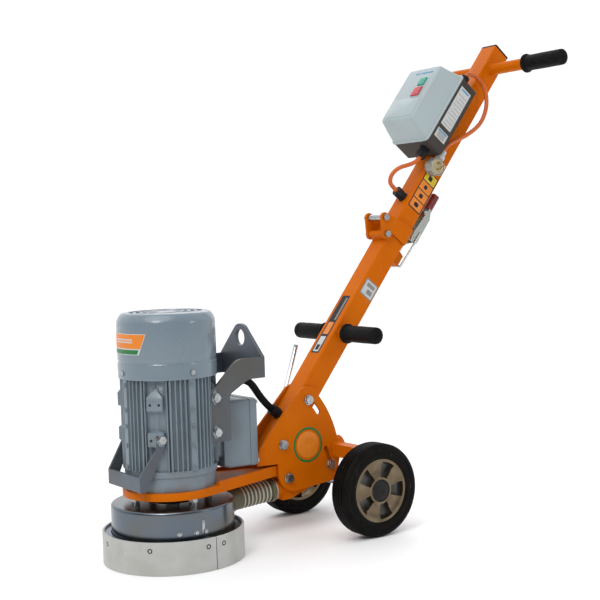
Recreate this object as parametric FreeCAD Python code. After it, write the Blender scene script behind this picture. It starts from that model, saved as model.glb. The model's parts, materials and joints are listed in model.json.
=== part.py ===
# Walk-behind single-disc floor grinder, in millimetres.
# A vertical motor stands on an arm and drives a diamond disc under a dust shroud. The arm
# floats between two side plates, which carry the wheels and a folding, tilting handle mast.
# Side to side is Y, the disc is towards -X, the operator stands at +X, and Z is up.
import FreeCAD
import Part
import math
import os

# ---- overall sizes ----
MAST_ANGLE = 51.8          # lean of the handle mast from the floor, degrees
MAST_SIZE = 50.0           # square tube, outside
MAST_WALL = 3.0
MAST_TOP = 1121.0          # along the mast, from the mast pivot
MAST_JOINT = 549.0         # where the two mast tubes meet
MAST_FOOT = -30.0          # lower end of the lower tube
JOINT_GAP = 0.6
HANDLE_AT = 1061.0         # top handle bar
CARRY_AT = 288.0           # short carrying bar
BAR_R = 13.5
HANDLE_HALF = 248.0        # half width of the top bar
CARRY_HALF = 138.5
GRIP_R = 18.5
GRIP_FLANGE_R = 22.0
GRIP_LENGTH = 114.0
GRIP_END = 3.5
GRIP_FIT = 0.1

# ---- mast pivot, clamp and side plates ----
PIVOT_X = 256.0
PIVOT_Z = 201.0
CLAMP_AT = 114.0           # clamp bolt, from the mast pivot
TILT_TRAVEL = 20.0         # degrees the mast leans back
PLATE_T = 6.0
PLATE_GAP = 0.5            # between the mast tube and each side plate
CLAMP_ROUND = 30.0         # radius of the plate round the clamp bolt
M10_R = 5.0
BOLT_FIT = 0.05
SLOT_FIT = 0.3
WASHER_R = 11.0
WASHER_T = 2.0
HEAD_ACROSS = 17.0
HEAD_T = 6.0
NUT_T = 8.0

# ---- arm pivot and float stop ----
ARM_PIVOT_X = 268.3
ARM_PIVOT_Z = 127.4
STOP_AT = 114.2            # float stop bolt, from the arm pivot
STOP_ANGLE = 7.7           # its direction from the arm pivot, degrees
FLOAT_TRAVEL = 19.0        # degrees the head drops
ARM_GAP = 1.0              # between the arm and each side plate
CHEEK_T = 6.0

# ---- wheels ----
WHEEL_R = 100.0
TYRE_W = 50.0
TYRE_INNER = 121.6         # inner face of a tyre, from the middle
RIM_R = 67.5
RIM_FIT = 0.2
HUB_R = 22.0
HUB_OUT = 4.0
CAP_R = 24.0
AXLE_R = 10.0
AXLE_X = 410.3
AXLE_HALF = 165.0
CARRIER_T = 5.0
CARRIER_OUTER = 112.0
CARRIER_TOP = 186.0
CARRIER_LOW = 158.0
CARRIER_FRONT = 392.0
CARRIER_DEPTH = 30.0

# ---- head, from the disc axis ----
HEAD_R = 100.0
HEAD_Z = 135.0
HEAD_T_PLATE = 15.0
ARM_W = MAST_SIZE - 1.0    # width between the side plates
RIB_T = 8.0
RIB_TOP = 157.0
NARROW_X = 245.0           # where the arm has narrowed to its width
SHAFT_HOLE = 46.0
SHROUD_R = 125.0
SHROUD_T = 3.0
SHROUD_TOP = 119.0
SHROUD_LOW = 58.0
SKIRT_R = 144.0
SKIRT_H = 65.0
SKIRT_T = 4.7
SKIRT_RING_T = 3.0
SKIRT_TRAVEL = 4.0
SKIRT_CLEAR = 1.2          # between the skirt ring and the shroud
STRIP_SPLIT = 2.0
SPLIT_ANGLE = 276.0        # where one gap between the two strips lies, degrees
DISC_R = 115.0
DISC_T = 10.0
SEGMENT_H = 20.0
SEGMENTS = 6
DISC_HUB_R = 40.0
DISC_HUB_TOP = 78.0

# ---- motor ----
FLANGE_R = 91.0
SHIELD_T = 42.0
COVER_R = 100.2
FRAME_BORE = COVER_R - 16.2
FRAME_WALL = 4.0
FIN_R = COVER_R - 3.2
FIN_T = 2.6
FIN_STEP = 6.0
FRAME_TOP = 373.0
RAIL_R = COVER_R - 2.2
RAIL_W = 14.0
LUG_FACE = 72.0            # flat faces of the corner lugs, from the motor axis
LUG_IN = 48.0
LUG_LOW_Z = 257.0
LUG_HIGH_Z = 327.0
LUG_H = 30.0
LUG_THREAD = 7.0           # how deep the bolts go into the lugs
LUG_BOLT_X = 63.0
COVER_WALL = 2.0
COVER_TOP = 503.0
COVER_SHOULDER = 20.0
COVER_TOP_R = COVER_R - 13.2
SHAFT_R = 14.0
BEARING_R = 31.0
BEARING_T = 19.0
ROTOR_R = 54.0
CORE_R = 55.0
CORE_H = 130.0
STUD_AT = 84.0
SCREW_Z = 386.0

# ---- terminal box, lifting bracket, front handle ----
TBOX_X = 108.0
TBOX_LID_X = 162.0
TBOX_END_X = 182.0
TBOX_HALF = 50.0
TBOX_LOW = 172.0
TBOX_TOP = 312.0
NECK_HALF = 38.0
LIFT_T = 8.0
LIFT_X = 184.0             # rear face of the lifting plate
LIFT_LOW = 357.0
LIFT_TOP = 400.0
EYE_Z = 437.0
EYE_R = 17.5
EYE_OUT = 29.0
BAR_W = 30.0               # front handle, height of its bar
BAR_T = 5.0
FRONT_X = -108.0
FRONT_HALF = 63.0
FRONT_Z = 172.0

# ---- dust hose and duct ----
HOSE_R = 24.0
HOSE_WALL = 1.8
SPIGOT_R = 22.0
SPIGOT_WALL = 2.0
HOSE_START = (128.0, 94.6)
HOSE_END = (246.0, 102.0)
DUCT_X = 262.0
DUCT_W = ARM_W - 2 * CHEEK_T
DUCT_WALL = 3.0
PORT_R = 24.0
PORT_WALL = 2.0
PORT_Z = 174.0
PORT_END = 430.0
DUCT_REAR = 395.0

# ---- folding joint and latch, along and in front of the mast ----
FOLD_S = 538.0
FOLD_V = 34.0
KNUCKLE_R = 9.0
UPPER_PIN_S = 566.0
UPPER_PIN_V = 60.0
EAR_T = 6.0
EAR_TOP = 591.0
EAR_GAP = 0.4
SPACER_R = 7.0
LATCH_PIVOT_S = 588.0
LATCH_PIVOT_V = -48.0
LATCH_PIN_R = 3.0
LOOP_S = 606.0
LOOP_V = -55.0
LOOP_R = 2.5
LOOP_Y = 18.5
LOOP_END_S = 508.0
LOOP_END_V = -50.0
LEVER_Y = 15.0
LEVER_T = 2.0
LEVER_BACK = -62.0
CATCH_LOW = 506.0
CATCH_HIGH = 540.0
CATCH_V = -47.0
CATCH_HALF = 13.0

# ---- starter box, along and in front of the mast ----
BOX_LOW = 768.0
BOX_HIGH = 960.0
BOX_HALF = 62.0
BOX_BACK = 31.0
BOX_RIM = 84.0
BOX_FRONT = 149.0
RIM_PROUD = 2.0
RIM_T = 5.0
FRONT_LOW = 781.0
FRONT_HIGH = 941.0
FRONT_HALF_W = 56.0
BOX_WALL = 3.0
BUTTON_Y = -21.0
START_HALF = 11.0          # half width of the square start button
STOP_HALF = 13.0
BUTTON_PROUD = 4.0
BUTTON_DEPTH = 12.0
BUTTON_TRAVEL = 3.0
BUTTON_GAP = 0.3
START_S = 893.0
STOP_S = 863.0
GLAND_V = 58.0
GLAND_Y = -28.0
GLAND_R = 12.0
LOW_GLAND_S = 742.0
TOP_GLAND_S = 984.0
MAST_GLAND_S = 652.0
MAST_GLAND_V = 50.0
FOOT_GLAND_S = 58.0
FOOT_GLAND_V = 47.0
FOOT_GLAND_Y = 6.0
PLUG_S = 746.0
PLUG_V = 16.0
PLUG_Y = -15.0 - MAST_SIZE / 2
PLUG_R = 21.5
PLUG_HALF = 12.0
PLUG_NECK_R = 8.0
PLUG_NECK_S = 791.0

# ---- cables: each route is a hand-made list of points ----
CORD_R = 5.0
MOTOR_CABLE_R = 8.0
SUPPLY_ROUTE = [(984, 58, -28), (994, 58, -28), (1003, 48, -32), (1005, 31, -38), (997, 9, -45),
                (978, -9, -50), (950, -24, -53), (912, -31, -51), (868, -17, -46), (833, 4, -42),
                (811, 16, PLUG_Y), (791, 16, PLUG_Y)]
LINK_ROUTE = [(742, 58, -28), (730, 58, -28), (712, 68, -20), (694, 82, -10), (672, 86, -3), (655, 78, 0),
              (652, 64, 0), (652, 50, 0)]
HEAD_CABLE_ROUTE = [(128, 6, 319), (128, 6, 331), (134.5, 6, 341), (146, 6, 346.5), (178, 6, 346.5),
                    (197, 6, 341), (208, 6, 331.3), (214.9, 6, 321.15)]
MAST_CABLE_ROUTE = [(215.1, 6, 320.85), (235.2, 6, 291.2), (254.93, 6, 275.65)]

# ---- worked out ----
T = math.radians(MAST_ANGLE)
FOOTPRINT_REAR = PIVOT_X + MAST_TOP * math.cos(T) + MAST_SIZE / 2 * math.sin(T)
CENTRE_X = (FOOTPRINT_REAR - SKIRT_R) / 2     # the origin stands under the middle of the object
PLATE_IN = MAST_SIZE / 2 + PLATE_GAP
PLATE_OUT = PLATE_IN + PLATE_T
CLAMP_X = PIVOT_X + CLAMP_AT * math.cos(T)
CLAMP_Z = PIVOT_Z + CLAMP_AT * math.sin(T)
STOP_X = ARM_PIVOT_X + STOP_AT * math.cos(math.radians(STOP_ANGLE))
STOP_Z = ARM_PIVOT_Z + STOP_AT * math.sin(math.radians(STOP_ANGLE))
CHEEK_OUT = PLATE_IN - ARM_GAP
HEAD_TOP = HEAD_Z + HEAD_T_PLATE
FRAME_LOW = HEAD_TOP + SHIELD_T
FRAME_OUT = FRAME_BORE + FRAME_WALL
HALF = MAST_SIZE / 2
EAR_IN = HALF
KNUCKLE_HALF = HALF - EAR_GAP
TYRE_OUTER = TYRE_INNER + TYRE_W

UP = FreeCAD.Vector(0, 0, 1)
SIDE = FreeCAD.Vector(0, 1, 0)


def point(x, y, z):
    return FreeCAD.Vector(x, y, z)


def block(x0, x1, y0, y1, z0, z1):
    return Part.makeBox(x1 - x0, y1 - y0, z1 - z0, point(x0, y0, z0))


def rod(radius, start, end):
    """A round bar between two points."""
    way = end - start
    return Part.makeCylinder(radius, way.Length, start, way)


def tube(outer, inner, start, end):
    return rod(outer, start, end).cut(rod(inner, start, end))


def hexagon(across, start, end):
    """A hexagon bar between two points."""
    way = end - start
    corner = across / math.sqrt(3)
    ring = [point(corner * math.cos(math.radians(60 * k)), corner * math.sin(math.radians(60 * k)), 0)
            for k in range(7)]
    bar = Part.Face(Part.makePolygon(ring)).extrude(point(0, 0, way.Length))
    bar.Placement = FreeCAD.Placement(start, FreeCAD.Rotation(UP, way))
    return bar


def outline(start, steps):
    """Edges in the XZ plane: a step is a point for a line, or two points for an arc."""
    edges = []
    here = point(start[0], 0, start[1])
    for step in steps:
        ends = step if isinstance(step[0], tuple) else (step,)
        stops = [point(x, 0, z) for x, z in ends]
        if len(stops) == 2:
            edges.append(Part.Arc(here, stops[0], stops[1]).toShape())
        else:
            edges.append(Part.LineSegment(here, stops[0]).toShape())
        here = stops[-1]
    return Part.Face(Part.Wire(edges))


def prism(points, y0, y1):
    """A straight-sided outline in X and Z, between two side planes."""
    face = outline(points[0], list(points[1:]) + [points[0]])
    face.translate(point(0, y0, 0))
    return face.extrude(point(0, y1 - y0, 0))


def plate(face, y0, y1):
    """A ready face in the XZ plane, between two side planes."""
    moved = face.copy()
    moved.translate(point(0, y0, 0))
    return moved.extrude(point(0, y1 - y0, 0))


def turned(profile, origin=None, axis=None):
    """A profile of (radius, height) turned about an axis, which is the disc axis unless given."""
    face = Part.Face(Part.makePolygon([point(r, 0, z) for r, z in profile + profile[:1]]))
    body = face.revolve(point(0, 0, 0), UP, 360)
    if origin is not None:
        body.Placement = FreeCAD.Placement(origin, FreeCAD.Rotation(UP, axis))
    return body


def joined(shapes):
    first = shapes[0]
    return first.multiFuse(shapes[1:]).removeSplitter() if len(shapes) > 1 else first


def mirrored(shape):
    """The shape on the other side of the XZ plane."""
    return shape.mirror(point(0, 0, 0), SIDE)


def both_sides(shape):
    return Part.makeCompound([shape, mirrored(shape)])


def polar(radius, degrees, z):
    return point(radius * math.cos(math.radians(degrees)), radius * math.sin(math.radians(degrees)), z)


def arc_slot(cx, cz, radius, low, high, half, y0, y1):
    """A curved slot about a centre, from one angle to another, in degrees."""
    def at(r, angle):
        return (cx + r * math.cos(math.radians(angle)), cz + r * math.sin(math.radians(angle)))
    middle = (low + high) / 2
    band = outline(at(radius - half, low), [(at(radius - half, middle), at(radius - half, high)),
                                            at(radius + half, high),
                                            (at(radius + half, middle), at(radius + half, low)),
                                            at(radius - half, low)])
    ends = [rod(half, point(x, y0, z), point(x, y1, z)) for x, z in (at(radius, low), at(radius, high))]
    return joined([plate(band, y0, y1)] + ends)


def from_mast(shape):
    """From the mast's own axes (X along it, Z out of its front face) to the object's."""
    place = FreeCAD.Placement(point(PIVOT_X, 0, PIVOT_Z), FreeCAD.Rotation(SIDE, -MAST_ANGLE))
    return shape.transformed(place.toMatrix(), copy=True)


def cable(route, radius, name):
    """A round cable along straight runs joined by tangent arcs; prints its bend radii and length."""
    points = [point(*p) for p in route]
    edges = []
    radii = []
    here = points[0]
    for before, corner, after in zip(points, points[1:], points[2:]):
        run_in = corner - before
        run_out = after - corner
        turn = run_in.getAngle(run_out)
        bend = 0.45 * min(run_in.Length, run_out.Length) / math.tan(turn / 2)
        radii.append(bend)
        setback = bend * math.tan(turn / 2)
        back = point(*run_in).normalize()
        ahead = point(*run_out).normalize()
        begin = corner - back * setback
        end = corner + ahead * setback
        inward = (ahead - back).normalize()
        middle = corner + inward * (bend / math.cos(turn / 2) - bend)
        edges.append(Part.LineSegment(here, begin).toShape())
        edges.append(Part.Arc(begin, middle, end).toShape())
        here = end
    edges.append(Part.LineSegment(here, points[-1]).toShape())
    path = Part.Wire(edges)
    section = Part.Wire(Part.makeCircle(radius, points[0], points[1] - points[0]))
    body = path.makePipeShell([section], True, False)
    length = sum(edge.Length for edge in edges)
    print(name, "radii", [round(r, 1) for r in radii], "length", round(length, 1),
          "volume ratio", round(body.Volume / (math.pi * radius ** 2 * length), 4))
    return body


def through_bolt(x, z, half, fit_r):
    """A bolt across the machine with a hexagon head, washers and a nut on the far side."""
    return joined([rod(fit_r, point(x, -half, z), point(x, half, z)),
                   rod(WASHER_R, point(x, -half - WASHER_T, z), point(x, -half, z)),
                   hexagon(HEAD_ACROSS, point(x, -half - WASHER_T - HEAD_T, z),
                           point(x, -half - WASHER_T, z)),
                   rod(WASHER_R, point(x, half, z), point(x, half + WASHER_T, z)),
                   hexagon(HEAD_ACROSS, point(x, half + WASHER_T, z), point(x, half + WASHER_T + NUT_T, z))])


def stub_bolt(x, z, inner, outer, fit_r):
    """One bolt through one side plate, head outwards, on the -Y side."""
    return joined([rod(fit_r, point(x, -outer, z), point(x, -inner, z)),
                   rod(WASHER_R, point(x, -outer - WASHER_T, z), point(x, -outer, z)),
                   hexagon(HEAD_ACROSS, point(x, -outer - WASHER_T - HEAD_T, z),
                           point(x, -outer - WASHER_T, z))])


# ---- chassis ----

def side_plate():
    """The -Y side plate: round at the clamp bolt, a long curved rear edge, a round front toe."""
    reach = math.radians(10)
    front = (CLAMP_X - CLAMP_ROUND * math.sqrt(0.5), CLAMP_Z + CLAMP_ROUND * math.sqrt(0.5))
    crest = (CLAMP_X + CLAMP_ROUND * 0.36, CLAMP_Z + CLAMP_ROUND * 0.933)
    rear = (CLAMP_X + CLAMP_ROUND * math.cos(reach), CLAMP_Z + CLAMP_ROUND * math.sin(reach))
    face = outline(front, [(crest, rear), ((389.5, 240), (408.5, 157)), (400, 122),
                           ((396, 111), (385, 106)), (288, 97), ((256.5, 108.5), (243, 140)), (243, 161),
                           (189, 163), (189, 178), (197, 201), front])
    body = plate(face, -PLATE_OUT, -PLATE_IN)
    span = (-PLATE_OUT - 1, -PLATE_IN + 1)
    pivot = rod(M10_R, point(PIVOT_X, span[0], PIVOT_Z), point(PIVOT_X, span[1], PIVOT_Z))
    arm = rod(M10_R, point(ARM_PIVOT_X, span[0], ARM_PIVOT_Z), point(ARM_PIVOT_X, span[1], ARM_PIVOT_Z))
    clamp = arc_slot(PIVOT_X, PIVOT_Z, CLAMP_AT, MAST_ANGLE - TILT_TRAVEL, MAST_ANGLE,
                     M10_R + SLOT_FIT, *span)
    stop = arc_slot(ARM_PIVOT_X, ARM_PIVOT_Z, STOP_AT, STOP_ANGLE, STOP_ANGLE + FLOAT_TRAVEL,
                    M10_R + SLOT_FIT, *span)
    return body.cut(joined([pivot, arm])).cut(clamp).cut(stop)


def axle_bracket():
    """The -Y wheel bracket: a folded beam welded to the side plate, with a cheek for the axle."""
    front = block(CARRIER_FRONT, CARRIER_FRONT + CARRIER_T, -CARRIER_OUTER, -PLATE_OUT, CARRIER_LOW,
                  CARRIER_TOP)
    top = block(CARRIER_FRONT, CARRIER_FRONT + CARRIER_DEPTH, -CARRIER_OUTER, -PLATE_OUT,
                CARRIER_TOP - CARRIER_T, CARRIER_TOP)
    foot = AXLE_R + 14
    cheek_points = [(CARRIER_FRONT, CARRIER_TOP), (CARRIER_FRONT + CARRIER_DEPTH, CARRIER_TOP),
                    (AXLE_X + foot, WHEEL_R), (AXLE_X - foot, WHEEL_R)]
    inner = CARRIER_T - CARRIER_OUTER
    cheek = prism(cheek_points, -CARRIER_OUTER, inner)
    eye = rod(foot, point(AXLE_X, -CARRIER_OUTER, WHEEL_R), point(AXLE_X, inner, WHEEL_R))
    hole = rod(AXLE_R, point(AXLE_X, -CARRIER_OUTER - 1, WHEEL_R), point(AXLE_X, inner + 1, WHEEL_R))
    return joined([front, top, cheek, eye]).cut(hole)


def pivot_bolts():
    """The mast pivot bolt right across, and a short arm pivot bolt in each side plate."""
    mast = through_bolt(PIVOT_X, PIVOT_Z, PLATE_OUT, M10_R)
    arm = stub_bolt(ARM_PIVOT_X, ARM_PIVOT_Z, CHEEK_OUT - CHEEK_T, PLATE_OUT, M10_R)
    return Part.makeCompound([mast, arm, mirrored(arm)])


def chassis():
    return {"side_plates": both_sides(side_plate()), "axle_brackets": both_sides(axle_bracket()),
            "axle": rod(AXLE_R, point(AXLE_X, -AXLE_HALF, WHEEL_R), point(AXLE_X, AXLE_HALF, WHEEL_R)),
            "pivot_bolts": pivot_bolts()}


def wheel(side):
    """Solid tyre, cast rim with a deep-set web, and a cap over the axle end; side is -1 or 1."""
    axis = point(0, side, 0)
    origin = point(AXLE_X, 0, WHEEL_R)
    lip = 5.0
    shoulder = 7.0
    tyre = turned([(RIM_R + RIM_FIT, TYRE_INNER), (WHEEL_R - shoulder, TYRE_INNER),
                   (WHEEL_R, TYRE_INNER + shoulder),
                   (WHEEL_R, TYRE_OUTER - shoulder), (WHEEL_R - shoulder, TYRE_OUTER),
                   (RIM_R + RIM_FIT, TYRE_OUTER)], origin, axis)
    bore = AXLE_R + BOLT_FIT
    web_low = TYRE_INNER + 17
    web_high = TYRE_INNER + 33
    rim = turned([(bore, TYRE_INNER - HUB_OUT), (HUB_R, TYRE_INNER - HUB_OUT), (HUB_R, web_low),
                  (RIM_R - lip, web_low), (RIM_R - lip, TYRE_INNER + 2), (RIM_R, TYRE_INNER + 2),
                  (RIM_R, TYRE_OUTER - 2), (RIM_R - lip, TYRE_OUTER - 2), (RIM_R - lip, web_high),
                  (HUB_R, web_high), (HUB_R, TYRE_OUTER - 6), (bore, TYRE_OUTER - 6)], origin, axis)
    seat = TYRE_OUTER - 6
    cap = turned([(0, seat), (CAP_R, seat), (CAP_R, seat + 5), (CAP_R - 4, seat + 8), (0, seat + 8)],
                 origin, axis)
    return tyre, rim, cap


# ---- head: arm, shroud, duct ----

def arm_outline():
    """Half angle data of the head plate: the straight edge that touches the disc's circle."""
    dx = NARROW_X
    dy = -ARM_W / 2
    distance = math.hypot(dx, dy)
    turn = math.atan2(dy, dx) - math.acos(HEAD_R / distance)
    return HEAD_R * math.cos(turn), HEAD_R * math.sin(turn)


def wedge(z0, z1):
    """The arm from the round head plate to the side plates, in plan."""
    tx, ty = arm_outline()
    half = ARM_W / 2
    corners = [(tx, ty), (NARROW_X, -half), (DUCT_X + 20, -half), (DUCT_X + 20, half), (NARROW_X, half),
               (tx, -ty)]
    face = Part.Face(Part.makePolygon([point(x, y, z0) for x, y in corners + corners[:1]]))
    return face.extrude(point(0, 0, z1 - z0))


def head_plate():
    """Round plate and tapering arm in one, with an upstanding rib along each straight edge."""
    disc = rod(HEAD_R, point(0, 0, HEAD_Z), point(0, 0, HEAD_TOP))
    body = joined([disc, wedge(HEAD_Z, HEAD_TOP)])
    tx, ty = arm_outline()
    edge = point(NARROW_X - tx, -ARM_W / 2 - ty, 0)
    inward = point(-edge.y, edge.x, 0).normalize() * RIB_T
    start = point(tx, ty, HEAD_Z) + edge * 0.15
    end = point(NARROW_X, -ARM_W / 2, HEAD_Z)
    corners = [start, end, end + inward, start + inward, start]
    rib = Part.Face(Part.makePolygon(corners)).extrude(point(0, 0, RIB_TOP - HEAD_Z))
    tail = block(NARROW_X - 1, DUCT_X + 20, -ARM_W / 2, -ARM_W / 2 + RIB_T, HEAD_Z, RIB_TOP)
    body = joined([body, rib, mirrored(rib), tail, mirrored(tail)])
    body = body.cut(rod(SHAFT_HOLE, point(0, 0, HEAD_Z - 1), point(0, 0, HEAD_TOP + 1)))
    room = block(NARROW_X - 3, DUCT_X + 30, -ARM_W, ARM_W, 0, RIB_TOP + 1)
    cheeks = room.common(block(NARROW_X - 3, DUCT_X + 30, CHEEK_OUT - CHEEK_T, ARM_W, 0, RIB_TOP + 1))
    body = body.cut(joined([cheeks, mirrored(cheeks)]))
    for angle in (0, 90, 180, 270):
        body = body.cut(rod(M10_R, polar(STUD_AT, angle, HEAD_Z - 1), polar(STUD_AT, angle, HEAD_TOP + 1)))
    return body


def arm_cheek():
    """The -Y cheek of the arm between the side plates, with the pivot and float stop holes."""
    points = [(NARROW_X, HEAD_Z), (NARROW_X, RIB_TOP), (300, RIB_TOP), (352, 186), (DUCT_REAR, 197),
              (DUCT_REAR, 130), (367, 130), (330, 98), (276, 80), (DUCT_X, 80), (DUCT_X, 116)]
    body = prism(points, -CHEEK_OUT, CHEEK_T - CHEEK_OUT)
    holes = [rod(M10_R + BOLT_FIT, point(x, -CHEEK_OUT - 1, z), point(x, CHEEK_T - CHEEK_OUT + 1, z))
             for x, z in ((ARM_PIVOT_X, ARM_PIVOT_Z),)]
    holes.append(rod(M10_R, point(STOP_X, -CHEEK_OUT - 1, STOP_Z),
                     point(STOP_X, CHEEK_T - CHEEK_OUT + 1, STOP_Z)))
    return body.cut(joined(holes))


def duct():
    """Welded dust duct between the cheeks, from a round spigot at the front to the vacuum port."""
    points = [(DUCT_X, 80), (276, 80), (330, 98), (366, 150), (DUCT_REAR, 150), (DUCT_REAR, 197),
              (352, 186), (305, 148), (284, 124), (DUCT_X, 124)]
    half = DUCT_W / 2
    face = outline(points[0], points[1:] + [points[0]])
    hollow = plate(face.makeOffset2D(-DUCT_WALL), DUCT_WALL - half, half - DUCT_WALL)
    shell = plate(face, -half, half).cut(hollow)
    way = point(HOSE_END[0] - HOSE_START[0], 0, HOSE_END[1] - HOSE_START[1]).normalize()
    mouth = point(DUCT_X, 0, HOSE_END[1] + (DUCT_X - HOSE_END[0]) * way.z / way.x)
    bore = half - DUCT_WALL
    front = block(DUCT_X - DUCT_WALL, DUCT_X, -SPIGOT_R - 1, SPIGOT_R + 1, 79, 127)
    spigot = rod(SPIGOT_R, mouth - way * 30, mouth)
    shell = joined([shell, front, spigot])
    shell = shell.cut(rod(SPIGOT_R - SPIGOT_WALL, mouth - way * 31, mouth - way * (DUCT_WALL + 0.5)))
    shell = shell.cut(rod(bore, mouth - way * 10, mouth + way * (DUCT_WALL + 2)))
    flange = block(DUCT_REAR, DUCT_REAR + DUCT_WALL, -PORT_R, PORT_R, PORT_Z - PORT_R, PORT_Z + PORT_R)
    port = rod(PORT_R, point(DUCT_REAR, 0, PORT_Z), point(PORT_END, 0, PORT_Z))
    shell = joined([shell, flange, port])
    shell = shell.cut(rod(bore, point(DUCT_REAR - 5, 0, PORT_Z), point(DUCT_REAR + 5, 0, PORT_Z)))
    shell = shell.cut(both_sides(arm_cheek()))
    return shell.cut(rod(PORT_R - PORT_WALL, point(DUCT_REAR + DUCT_WALL, 0, PORT_Z),
                         point(PORT_END + 1, 0, PORT_Z)))


def hose_line(margin=0.0):
    start = point(HOSE_START[0], 0, HOSE_START[1])
    end = point(HOSE_END[0], 0, HOSE_END[1])
    way = (end - start).normalize()
    return start - way * margin, end + way * margin


def shroud():
    """Pressed steel shroud: flat top, round wall, and a spigot for the dust hose."""
    r = SHROUD_R
    t = SHROUD_T
    bevel = 5.0
    skin = turned([(SHAFT_HOLE, SHROUD_TOP - t), (r - t - 2, SHROUD_TOP - t), (r - t, SHROUD_TOP - bevel),
                   (r - t, SHROUD_LOW), (r, SHROUD_LOW), (r, SHROUD_TOP - bevel), (r - bevel, SHROUD_TOP),
                   (SHAFT_HOLE, SHROUD_TOP)])
    start, end = hose_line()
    way = (end - start).normalize()
    spigot_end = start + way * 22
    spigot = rod(SPIGOT_R, start - way * 30, spigot_end)
    inside = rod(r - t / 2, point(0, 0, SHROUD_LOW), point(0, 0, SHROUD_TOP - t / 2))
    body = joined([skin, spigot.cut(inside)])
    body = body.cut(rod(SPIGOT_R - SPIGOT_WALL, start - way * 40, spigot_end + way))
    for angle in (0, 90, 180, 270):
        body = body.cut(rod(M10_R, polar(STUD_AT, angle, SHROUD_TOP - t - 1),
                            polar(STUD_AT, angle, SHROUD_TOP + 1)))
    return body


def dust_hose():
    start, end = hose_line()
    return tube(HOSE_R, SPIGOT_R + GRIP_FIT, start, end)


def hose_clamps():
    """A band round each end of the hose."""
    start, end = hose_line()
    way = (end - start).normalize()
    bands = []
    for edge in (start + way * 4, end - way * 13):
        bands.append(tube(HOSE_R + 2, HOSE_R + GRIP_FIT, edge, edge + way * 9))
    return Part.makeCompound(bands)


# ---- skirt ----

def skirt_ring():
    outer = SKIRT_R - SKIRT_T
    inner = SHROUD_R + SKIRT_CLEAR
    top = SKIRT_H - 4
    return turned([(inner, top - SKIRT_RING_T), (outer - SKIRT_RING_T, top - SKIRT_RING_T),
                   (outer - SKIRT_RING_T, 12), (outer, 12), (outer, top), (inner, top)])


def skirt_strips():
    """Two plastic wear strips round the skirt ring, with a small gap where they meet."""
    ring = turned([(SKIRT_R - SKIRT_T, 0), (SKIRT_R, 0), (SKIRT_R, SKIRT_H), (SKIRT_R - SKIRT_T, SKIRT_H)])
    cutter = block(-SKIRT_R - 1, SKIRT_R + 1, -STRIP_SPLIT / 2, STRIP_SPLIT / 2, -1, SKIRT_H + 1)
    cutter.rotate(point(0, 0, 0), UP, SPLIT_ANGLE)
    return ring.cut(cutter)


# ---- motor ----

def near_angle(angle, target):
    return abs((angle - target + 180) % 360 - 180)


def motor_frame():
    """Finned frame: a tube with cooling fins, three boss rails and four corner lug columns."""
    shell = rod(FRAME_OUT, point(0, 0, FRAME_LOW), point(0, 0, FRAME_TOP))
    pieces = [shell]
    steps = int(360 / FIN_STEP)
    for k in range(steps):
        angle = (k + 0.5) * FIN_STEP
        by_lug = min(near_angle(angle, a) for a in (45, 135, 225, 315)) < 17
        by_rail = min(near_angle(angle, a) for a in (90, 180, 270)) < 6
        by_box = near_angle(angle, 0) < 28
        if by_lug or by_rail or by_box:
            continue
        fin = block(FRAME_OUT - 1, FIN_R, -FIN_T / 2, FIN_T / 2, FRAME_LOW, FRAME_TOP)
        fin.rotate(point(0, 0, 0), UP, angle)
        pieces.append(fin)
    for angle in (90, 180, 270):
        rail = block(FRAME_OUT - 1, RAIL_R, -RAIL_W / 2, RAIL_W / 2, FRAME_LOW, FRAME_TOP)
        rail.rotate(point(0, 0, 0), UP, angle)
        pieces.append(rail)
    for sx in (-1, 1):
        for sy in (-1, 1):
            for z in (LUG_LOW_Z, LUG_HIGH_Z):
                low_x, high_x = sorted((sx * LUG_IN, sx * LUG_FACE))
                low_y, high_y = sorted((sy * LUG_IN, sy * LUG_FACE))
                pieces.append(block(low_x, high_x, low_y, high_y, z - LUG_H / 2, z + LUG_H / 2))
            low_x, high_x = sorted((sx * LUG_IN, sx * (LUG_FACE - 6)))
            low_y, high_y = sorted((sy * LUG_IN, sy * (LUG_FACE - 6)))
            pieces.append(block(low_x, high_x, low_y, high_y, LUG_LOW_Z - LUG_H, LUG_HIGH_Z + LUG_H))
    body = joined(pieces)
    body = body.cut(rod(FRAME_BORE, point(0, 0, FRAME_LOW - 1), point(0, 0, FRAME_TOP + 1)))
    for x, y, z in lug_bolt_places():
        body = body.cut(rod(M10_R, point(x, y, z), point(x, y - math.copysign(LUG_THREAD, y), z)))
    return body


def lug_bolt_places():
    """Where bolts enter the lugs: two each side for the lifting bracket, one each for the handle."""
    places = [(LUG_BOLT_X, -LUG_FACE, LUG_LOW_Z), (LUG_BOLT_X, -LUG_FACE, LUG_HIGH_Z),
              (-LUG_BOLT_X, -LUG_FACE, LUG_LOW_Z)]
    return places + [(x, -y, z) for x, y, z in places]


def lug_bolts():
    """The bolts of the lifting bracket and the front handle."""
    bolts = []
    for x, y, z in lug_bolt_places():
        side = math.copysign(1, y)
        seat = y + side * (LIFT_T if x > 0 else BAR_T)
        shank = rod(M10_R, point(x, y - side * LUG_THREAD, z), point(x, seat, z))
        washer = rod(10, point(x, seat, z), point(x, seat + side * 2, z))
        head = hexagon(15, point(x, seat + side * 2, z), point(x, seat + side * 8, z))
        bolts.append(joined([shank, washer, head]))
    return bolts


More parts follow.
